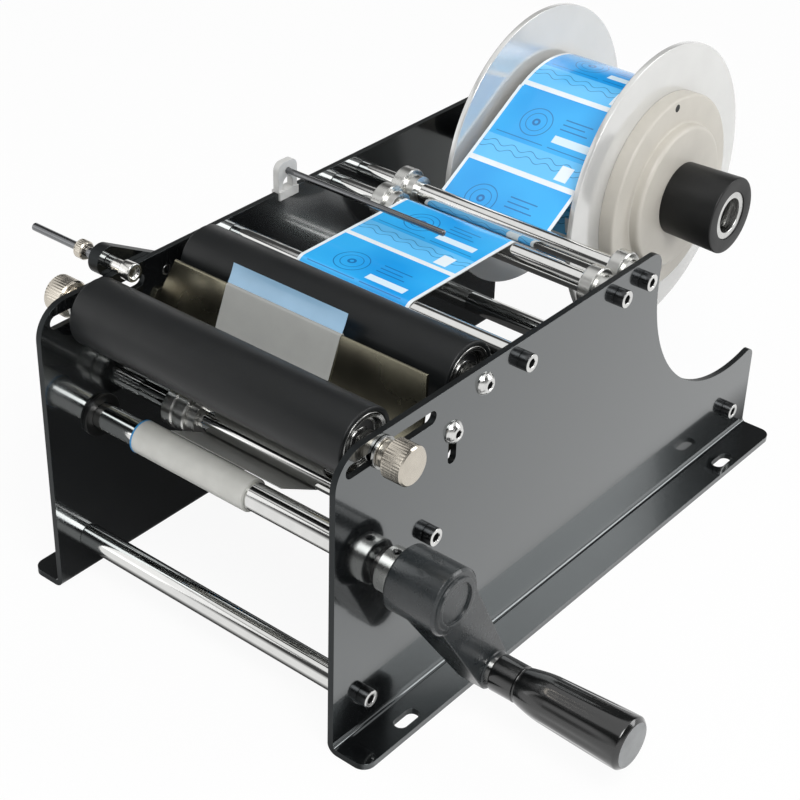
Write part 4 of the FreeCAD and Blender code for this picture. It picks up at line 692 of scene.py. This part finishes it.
fit(lathe("knob_body", REEL_Y, REEL_Z, line, closed=True, turns=128), "reel_cap", moulded_nylon)
line = ring_profile(ring_low[0], ring_high[0], RING_OUTER - 0.02, RING_BORE, 0.5)
fit(lathe("knob_ring", REEL_Y, REEL_Z, line, closed=True), "cap_ring", turned_aluminium)


# Web of labels: printed film labels on a glassine liner, from the roll under the rear guide bar, over the
# front one and the turning bar, under the rear roller and up to the peel edge. Glossy film, paler paper
# between.
LABEL_PITCH, LABEL_LENGTH, LABEL_MARGIN, PRINT_START = 50.7, 47.7, 1.8, 1.6
WEB_GAP = 0.25
low, high = corners("label_web")
WEB_LEFT, WEB_WIDTH = low[0], high[0] - low[0]


def printed_film(name, paper_colour):
    """Sky blue labels with a generic pattern of rings, waves and blocks, by the web's own UV in millimetres
    across it and along it, so that the print runs on from the roll to the peel edge."""
    material = finish(name, paper_colour, 0.2, mottle=0.03, bump=0.03, bump_size=9, coat_weight=0.5)
    tree = material.node_tree
    shader = tree.nodes["Principled BSDF"]
    paper = shader.inputs["Base Color"].links[0].from_socket
    across, along = add(tree, "SeparateXYZ", [add(tree, "TexCoord", out="UV")], out=None)[:2]
    labels = add(tree, "Math", [along, LABEL_PITCH], operation="DIVIDE")
    share = add(tree, "Math", [labels], operation="FRACT")
    place = add(tree, "Math", [share, LABEL_PITCH], operation="MULTIPLY")

    def away(value, middle, half):
        """How far a value lies outside a band about the middle, negative inside it."""
        offset = add(tree, "Math", [value, middle], operation="SUBTRACT")
        distance = add(tree, "Math", [offset], operation="ABSOLUTE")
        return add(tree, "Math", [distance, half], operation="SUBTRACT")

    def inked(distance):
        """1 where the distance is below zero, with an edge of a quarter of a millimetre."""
        return add(tree, "MapRange", [distance, -0.12, 0.12, 1.0, 0.0])

    def block(left, right, low, high):
        """1 inside a rectangle."""
        sides = away(across, (left + right) / 2, (right - left) / 2)
        ends = away(place, (low + high) / 2, (high - low) / 2)
        return inked(add(tree, "Math", [sides, ends], operation="MAXIMUM"))

    def ring(x, y, radius, width):
        """1 on a circular line."""
        offsets = [add(tree, "Math", pair, operation="SUBTRACT") for pair in ((across, x), (place, y))]
        squares = [add(tree, "Math", [offset, 2.0], operation="POWER") for offset in offsets]
        reach = add(tree, "Math", [add(tree, "Math", squares, operation="ADD")], operation="SQRT")
        return inked(away(reach, radius, width / 2))

    def wave(y, height, length):
        """1 on a sine line across the label."""
        turn = add(tree, "Math", [across, 2 * math.pi / length], operation="MULTIPLY")
        sine = add(tree, "Math", [turn], operation="SINE")
        rise = add(tree, "Math", [sine, height], operation="MULTIPLY")
        return inked(away(add(tree, "Math", [place, rise], operation="SUBTRACT"), y, 0.22))

    clouds = add(tree, "MapRange", [grain(tree, 40, 1.0), 0.35, 0.65])
    marks = [ring(22, 19, 8.5, 0.5), ring(22, 19, 5.5, 0.4), ring(22, 19, 1.6, 1.2), wave(37, 1.2, 11),
             wave(40.5, 1.2, 11), block(36, 60, 30.2, 30.7), block(5, 33, 30.2, 30.7)]
    marks += [block(36, right, low, low + 0.7) for right, low in ((52, 12), (49, 15), (52, 18))]
    layers = [(block(2, 64, 33, 49), "#63c3fb")]
    layers += [(add(tree, "Math", [mark, 0.8], operation="MULTIPLY"), "#0c5a9c") for mark in marks]
    layers += [(block(50, 57, 37, 46), "#e9f3f8"), (block(36, 58, 22.5, 27.0), "#d9eefa")]
    colour = add(tree, "Mix", {0: clouds, 6: linear("#149be8"), 7: linear("#2fb0f4")}, out=2,
                 data_type="RGBA")
    for amount, code in layers:
        colour = add(tree, "Mix", {0: amount, 6: colour, 7: linear(code)}, out=2, data_type="RGBA")
    label = block(LABEL_MARGIN, WEB_WIDTH - LABEL_MARGIN, 0, LABEL_LENGTH)
    printed = add(tree, "Mix", {0: label, 6: paper, 7: colour}, out=2, data_type="RGBA")
    tree.links.new(printed, shader.inputs["Base Color"])
    return material


def tangent(first, last):
    """The heading of the straight run between two circles (y, z, radius), whose radius is positive where
    the path turns left: the line of centres less the arc sine of the radii's difference over its
    length."""
    gap = math.hypot(last[0] - first[0], last[1] - first[1])
    share = max(-1.0, min(1.0, (last[2] - first[2]) / gap))
    return math.atan2(last[1] - first[1], last[0] - first[0]) - math.asin(share)


def touch(circle, heading):
    """The point of a circle where a path with that heading meets it, as a circle of no size."""
    y, z, radius = circle
    return y + radius * math.sin(heading), z - radius * math.cos(heading), 0.0


def web_path(chain, step=2.0):
    """Points (y, z, heading) of a path round a chain of circles, and how far along it each lies: straight
    runs between tangent points, arcs at 0.08 radian steps, then both divided into steps of that many
    mm."""
    points = []
    last = None
    for first, second in zip(chain, chain[1:]):
        heading = tangent(first, second)
        if last is None:
            points.append((*touch(first, heading)[:2], heading))
        else:
            way = math.copysign(1.0, first[2])
            heading = last + way * ((heading - last) * way % (2 * math.pi))
            for turn in np.linspace(last, heading, max(2, int(abs(heading - last) / 0.08)))[1:]:
                points.append((*touch(first, turn)[:2], turn))
        points.append((*touch(second, heading)[:2], heading))
        last = heading
    knots = np.array(points)
    gaps = np.hypot(*np.diff(knots[:, :2], axis=0).T)
    knots = knots[np.concatenate([[True], gaps > 1e-6])]
    gaps = gaps[gaps > 1e-6]
    spans = [np.linspace(0, 1, max(1, int(gap / step)) + 1)[1:, None] * (b - a) + a
             for a, b, gap in zip(knots, knots[1:], gaps)]
    line = np.vstack([knots[:1], *spans])
    return line, np.concatenate([[0], np.cumsum(np.hypot(*np.diff(line[:, :2], axis=0).T))])


def web_strip(name, path, drift=0.0, wave=0.0, thickness=WEB_THICKNESS, start=0.0, sides=(0, 1)):
    """A strip along a path: each place is the path's point plus half the thickness along its normal, and
    goes from edge to edge. drift moves it sideways by that share of the way, wave lifts the middle of its
    length and width by half sines, and sides are the materials of its label side and its liner side."""
    line, distance = path
    count = len(line)
    lanes = np.linspace(0, 1, 25)
    normal = np.stack([np.zeros(count), np.sin(line[:, 2]), -np.cos(line[:, 2])], axis=1)
    centre = np.stack([np.zeros(count), line[:, 0], line[:, 1]], axis=1)
    order = np.array([0, *range(count), count - 1])
    half = np.concatenate([[0.0], np.full(count, thickness / 2), [0.0]])
    lift = wave * np.sin(np.pi * order / (count - 1))[:, None] * np.sin(np.pi * lanes)[None, :]
    side_shift = (WEB_LEFT + drift * distance[order])[:, None] + lanes[None, :] * WEB_WIDTH
    across = side_shift[:, :, None] * np.array([1.0, 0.0, 0.0])
    middle, outward = centre[order][:, None, :], normal[order][:, None, :]
    upper = middle + outward * (lift + half[:, None])[:, :, None] + across
    lower = middle + outward * (lift - half[:, None])[:, :, None] + across
    grid = np.concatenate([upper, lower[:, ::-1], upper[:, :1]], axis=1)
    lane = np.concatenate([lanes, lanes[::-1], lanes[:1]]) * WEB_WIDTH
    u = np.repeat(lane[None, :], len(order), axis=0)
    v = np.repeat((distance[order] + start)[:, None], len(lane), axis=1)
    paint = np.full((len(order) - 1, len(lane) - 1), sides[0])
    paint[:, len(lanes) - 1:] = sides[1]
    return surface(name, grid, u, v, paint)


def bar_circle(name, way):
    """A guide bar's circle at the middle of the web; way is 1 where the path turns left."""
    y, z, radius = BARS[name]
    return y, z, way * (radius + WEB_GAP + WEB_THICKNESS / 2)


FOOT = (*on_blade(BLADE_LENGTH, 0), EDGE_RADIUS + 0.4)
APEX = (EDGE[0], EDGE[1] + EDGE_RADIUS, 0.0)
y, z, radius = axis("label_roll")
ROLL = (y, z, radius + WEB_GAP + WEB_THICKNESS / 2)
y, z, radius = axis("rear_roller_cover")
ROLLER = (y, z, -radius - WEB_GAP - WEB_THICKNESS / 2)
ROLL_LEAVE = touch(ROLL, tangent(ROLL, bar_circle("rear_guide_bar", -1)))
ROLLER_LEAVE = touch(ROLLER, tangent(ROLLER, EDGE))
label_film = printed_film("printed_polypropylene_film", "#e8eff3")
liner_paper = finish("grey_glassine_liner", "#9d9e9b", 0.38, mottle=0.05, cloud=14, bump=0.08, bump_size=3.0)
path = web_path([ROLL_LEAVE, bar_circle("rear_guide_bar", -1), bar_circle("front_guide_bar", 1),
                 bar_circle("turning_bar", 1), ROLLER, ROLLER_LEAVE])
web_length = path[1][-1]
web = fit(web_strip("web_of_labels", path, start=PRINT_START), "label_web", label_film, liner_paper)
path = web_path([ROLLER_LEAVE, EDGE, APEX], step=1.0)
run = web_strip("web_to_edge", path, start=PRINT_START + web_length)
fit(run, "web_front_run", label_film, liner_paper)
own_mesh(run)


# Empty liner: grey glassine paper from the peel edge down the blade, round the liner guide bar and over to
# the take-up shaft. It drifts a little to the left between the bar and the shaft.
TAIL_DRIFT, PLATE_DROP, FAR_BELOW = -0.02, 0.0105, -10.0
SHAFT_CIRCLE = (SHAFT_Y, SHAFT_Z, WOUND_RADIUS + WEB_GAP + WEB_THICKNESS / 2)
LINER_CIRCLE = bar_circle("liner_guide_bar", -1)
LINER_MEET = touch(LINER_CIRCLE, tangent(FOOT, LINER_CIRCLE))
SHAFT_MEET = touch(SHAFT_CIRCLE, tangent(LINER_CIRCLE, SHAFT_CIRCLE))
FOOT_LEAVE = touch(FOOT, tangent(FOOT, LINER_CIRCLE))
path = web_path([APEX, EDGE, FOOT, FOOT_LEAVE], step=1.5)
liner = fit(web_strip("liner_over_blade", path, sides=(0, 0)), "liner_front_run", liner_paper)
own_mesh(liner)
path = web_path([FOOT_LEAVE, LINER_MEET], step=1.5)
run = fit(web_strip("liner_to_bar", path, sides=(0, 0)), "liner_front_run", liner_paper)
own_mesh(run)
path = web_path([LINER_MEET, LINER_CIRCLE, SHAFT_MEET], step=1.5)
tail = web_strip("liner_to_shaft", path, drift=TAIL_DRIFT, sides=(0, 0))
fit(tail, "liner_tail", liner_paper)


# Peeled label: the next label stands up from the peel edge in a slight curl and shows the pale adhesive
# side of its blue film to the front.
adhesive_side = finish("adhesive_side_of_film", "#8fb4d0", 0.25, mottle=0.06, cloud=18, coat_weight=0.4)
TIP_LENGTH, TIP_RISE, TIP_THICKNESS, TIP_CURL = 9.0, math.radians(64), 0.3, 0.36
step = np.linspace(0, 1, 12)
curl = np.stack([EDGE[0] + TIP_LENGTH * step * math.cos(TIP_RISE) + TIP_CURL * np.sin(math.pi * step),
                 EDGE[1] + 1.6 + TIP_LENGTH * step * math.sin(TIP_RISE), np.radians(72 - 14 * step)], axis=1)
tip = web_strip("label_tip", (curl, step * TIP_LENGTH), wave=0.3, thickness=TIP_THICKNESS, sides=(1, 0))
fit(tip, "peeled_label", adhesive_side, label_film)


# Label roll: the web's print runs on round its outside, and its ends show the edges of the wound layers.
# The UV along it is the turn from where the web leaves, times the radius.
low, high = corners("label_roll")
ROLL_RADIUS = axis("label_roll")[2]
leave_turn = math.atan2(ROLL_LEAVE[1] - ROLL[1], ROLL_LEAVE[0] - ROLL[0])
line = [(low[0], CORE_RADIUS + 0.05, 0.1), (low[0], ROLL_RADIUS, 0.15), (high[0], ROLL_RADIUS, 0.15),
        (high[0], CORE_RADIUS + 0.05, 0.1)]
roll = lathe("wound_labels", ROLL[0], ROLL[1], line, closed=True, turns=160, start=leave_turn - 2 * math.pi,
             paint=lambda x, r: 0 if r > ROLL_RADIUS - 0.2 else 1)
uv_layer = roll.data.uv_layers["UVMap"].data
uv = np.empty(len(uv_layer) * 2, np.float32)
uv_layer.foreach_get("uv", uv)
corner = np.empty(len(uv_layer), np.int32)
roll.data.loops.foreach_get("vertex_index", corner)
points = np.empty(len(roll.data.vertices) * 3, np.float32)
roll.data.vertices.foreach_get("co", points)
x, y, z = points.reshape(-1, 3)[corner].T.astype(float) * 1000
turn = uv[::2] / np.maximum(3.0, np.hypot(y - ROLL[0], z - ROLL[1]))
uv = np.stack([x - WEB_LEFT, PRINT_START + (turn - leave_turn) * ROLL[2]], axis=1)
uv_layer.foreach_set("uv", uv.ravel())
fit(roll, "label_roll", label_film, liner_paper)


# Guide collars: turned steel rings with a flange, a hub and a set screw, two on each guide bar and one on
# the liner's. The sharp edges are just broken.
dress(turned_collar, "front_bar_left_collar", "front_bar_right_collar", "rear_bar_left_collar",
      "rear_bar_right_collar", "liner_collar")


# Pointer: a drawn steel rod, held by friction in a pale nylon clip that stands on the left plate's top
# edge. The rod has a dull grey shine, and the moulded clip is smooth and softly glossy.
drawn_wire = finish("drawn_steel_wire", "#77787a", 0.25, metallic=1.0, mottle=0.08, cloud=9, bump=0.05)
clip_nylon = finish("moulded_grey_nylon", "#c4c4c2", 0.35, mottle=0.05, cloud=5, bump=0.15, bump_size=0.8,
                    edge=0.6, ior=1.53)
low, high = corners("pointer_rod")
fit(rod("pointer_wire", *axis("pointer_rod"), low[0], high[0], 0.5), "pointer_rod", drawn_wire)
dress(clip_nylon, "pointer_post")


# Bottle stop: a black arm beside the left plate carries a stepped steel rod, a round knurled nut on its
# thin part, and a bright nickel end that the bottle's rim runs against.
bright_nickel = finish("polished_nickel_plate", "#dddcd8", 0.16, metallic=1.0, mottle=0.04, turned=0.15)
dress(powder_coat, "stop_arm")
STOP_Y, STOP_Z, radius = axis("stop_rod")
STOP_THREAD = 1.9
low, high = corners("stop_rod")
nut_low, nut_high = corners("stop_nut")
line = [(low[0], 0), (low[0], STOP_THREAD, 0.5), (nut_high[0], STOP_THREAD), (nut_high[0], radius, 0.3),
        (high[0], radius, 0.3), (high[0], 0)]
fit(lathe("stop_bar", STOP_Y, STOP_Z, line, turns=48), "stop_rod", drawn_wire)
NUT_RADIUS = axis("stop_nut")[2]


def fine_knurl(x, radius, turn):
    """24 saw teeth of a quarter of a millimetre round the nut's middle."""
    tooth = np.abs(np.mod(turn * 24 / (2 * math.pi), 1.0) - 0.5) * 2
    middle = (x > nut_low[0] + 0.95) & (x < nut_high[0] - 0.95) & (radius > NUT_RADIUS - 0.2)
    return np.where(middle, radius - 0.25 * tooth, radius)


line = [(nut_low[0], 1.95, 0.2), (nut_low[0], NUT_RADIUS - 0.7, 0.2), (nut_low[0] + 0.7, NUT_RADIUS, 0.1),
        (nut_low[0] + 1.1, NUT_RADIUS), (nut_high[0] - 1.1, NUT_RADIUS), (nut_high[0] - 0.7, NUT_RADIUS, 0.1),
        (nut_high[0], NUT_RADIUS - 0.7, 0.2), (nut_high[0], 1.95, 0.2)]
fit(lathe("stop_clamp_nut", STOP_Y, STOP_Z, line, closed=True, shape=fine_knurl), "stop_nut", nickel_plate)
TIP_NECK, TIP_NECK_LENGTH = 3.2, 9.5
end_low, end_high = corners("stop_tip")
end_radius = axis("stop_tip")[2]
line = [(high[0] + 0.1, 0), (high[0] + 0.1, radius), (end_low[0], radius, 0.2), (end_low[0], TIP_NECK, 0.3),
        (end_low[0] + TIP_NECK_LENGTH, TIP_NECK, 0.3), (end_low[0] + TIP_NECK_LENGTH + 0.4, end_radius, 0.5),
        (end_high[0], end_radius, 0.6), (end_high[0], 2.9, 0.3), (end_high[0] - 1.1, 2.3, 0.3),
        (end_high[0] - 1.3, 0)]
fit(lathe("stop_end", STOP_Y, STOP_Z, line, turns=64), "stop_tip", bright_nickel)


# Floor: white paper. To the camera and in mirrors it is as white as the background, but in mirrors the
# part under the machine is painted dark as its shade.
FOOTPRINT, FADE, SHADE, PAPER_WHITE = (0.098, 0.195), 0.02, 0.04, 0.93
mesh = bpy.data.meshes.new("floor")
mesh.from_pydata([(-6, -6, 0), (6, -6, 0), (6, 6, 0), (-6, 6, 0)], [], [(0, 1, 2, 3)])
floor = bpy.data.objects.new("floor", mesh)
bpy.context.scene.collection.objects.link(floor)
paper = bpy.data.materials.new("white_paper_sweep")
paper.use_nodes = True
tree = paper.node_tree
shader = tree.nodes["Principled BSDF"]
shader.inputs["Base Color"].default_value = linear("#ececec")
shader.inputs["Roughness"].default_value = 0.9


def seen_by(tree, *rays):
    """1 for a ray of one of those kinds."""
    path = add(tree, "LightPath", out=None)
    amount = path[rays[0]]
    for ray in rays[1:]:
        amount = add(tree, "Math", [amount, path[ray]], operation="MAXIMUM")
    return amount


x, y = add(tree, "SeparateXYZ", [add(tree, "TexCoord", out="Object")], out=None)[:2]
x = add(tree, "Math", [x, MIDDLE / 1000], operation="SUBTRACT")
distances = [add(tree, "Math", [place], operation="ABSOLUTE") for place in (x, y)]
outside = [add(tree, "MapRange", [distance, reach - FADE / 2, reach + FADE / 2])
           for distance, reach in zip(distances, FOOTPRINT)]
open_floor = add(tree, "Math", outside, operation="MAXIMUM")
# Painted shade: mirror rays see the floor inside the machine's footprint glow at only SHADE, a dark patch
# standing in for the shadow under the machine.
painted_floor_shade = add(tree, "MapRange", [open_floor, 0.0, 1.0, SHADE, 1.0])
shade = add(tree, "Math", [seen_by(tree, "Is Camera Ray"), painted_floor_shade], operation="MAXIMUM")
seen = seen_by(tree, "Is Camera Ray", "Is Glossy Ray", "Is Transmission Ray")
white = add(tree, "Math", [seen, PAPER_WHITE], operation="MULTIPLY")
glow = add(tree, "Emission", {"Color": (1, 1, 1, 1), "Strength": shade})
mixed = add(tree, "MixShader", [white, shader.outputs[0], glow])
tree.links.new(mixed, tree.nodes["Material Output"].inputs["Surface"])
floor.data.materials.append(paper)


# Studio: a white background, a wall that darkens upward so that black parts stay black, a bright ceiling
# for the polished metal to mirror, and three soft boxes.
SKY_LIGHT, DARK_WALL = 0.42, 0.06
world = bpy.data.worlds.new("studio")
scene.world = world
world.use_nodes = True
tree = world.node_tree
camera_ray = seen_by(tree, "Is Camera Ray")
seen = seen_by(tree, "Is Camera Ray", "Is Glossy Ray", "Is Transmission Ray")
height = add(tree, "SeparateXYZ", [add(tree, "TexCoord", out="Generated")], out=2)
wall = add(tree, "MapRange", [height, 0.12, 0.42, 1.0, DARK_WALL])
overhead = add(tree, "MapRange", [height, 0.72, 0.80])
ceiling = add(tree, "Math", [wall, overhead], operation="MAXIMUM")
strength = add(tree, "Math", [camera_ray, ceiling], operation="MAXIMUM")
soft = add(tree, "Background", {"Color": (1, 1, 1, 1), "Strength": SKY_LIGHT})
white = add(tree, "Background", {"Color": (1, 1, 1, 1), "Strength": strength})
mixed = add(tree, "MixShader", [seen, soft, white])
tree.links.new(mixed, tree.nodes["World Output"].inputs["Surface"])


def softbox(name, place, target, size, power):
    """A square area lamp that faces its target."""
    lamp = bpy.data.objects.new(name, bpy.data.lights.new(name, "AREA"))
    lamp.data.size = size
    lamp.data.energy = power
    lamp.location = place
    lamp.rotation_euler = (Vector(target) - Vector(place)).to_track_quat("-Z", "Y").to_euler()
    bpy.context.scene.collection.objects.link(lamp)


softbox("key", (0.9, -0.7, 1.5), (0, 0, 0.08), 0.9, 24)
softbox("fill", (-1.3, -0.9, 0.8), (0, 0, 0.08), 1.2, 5)
softbox("rim", (1.2, 1.2, 1.0), (0, 0.1, 0.1), 0.9, 12)
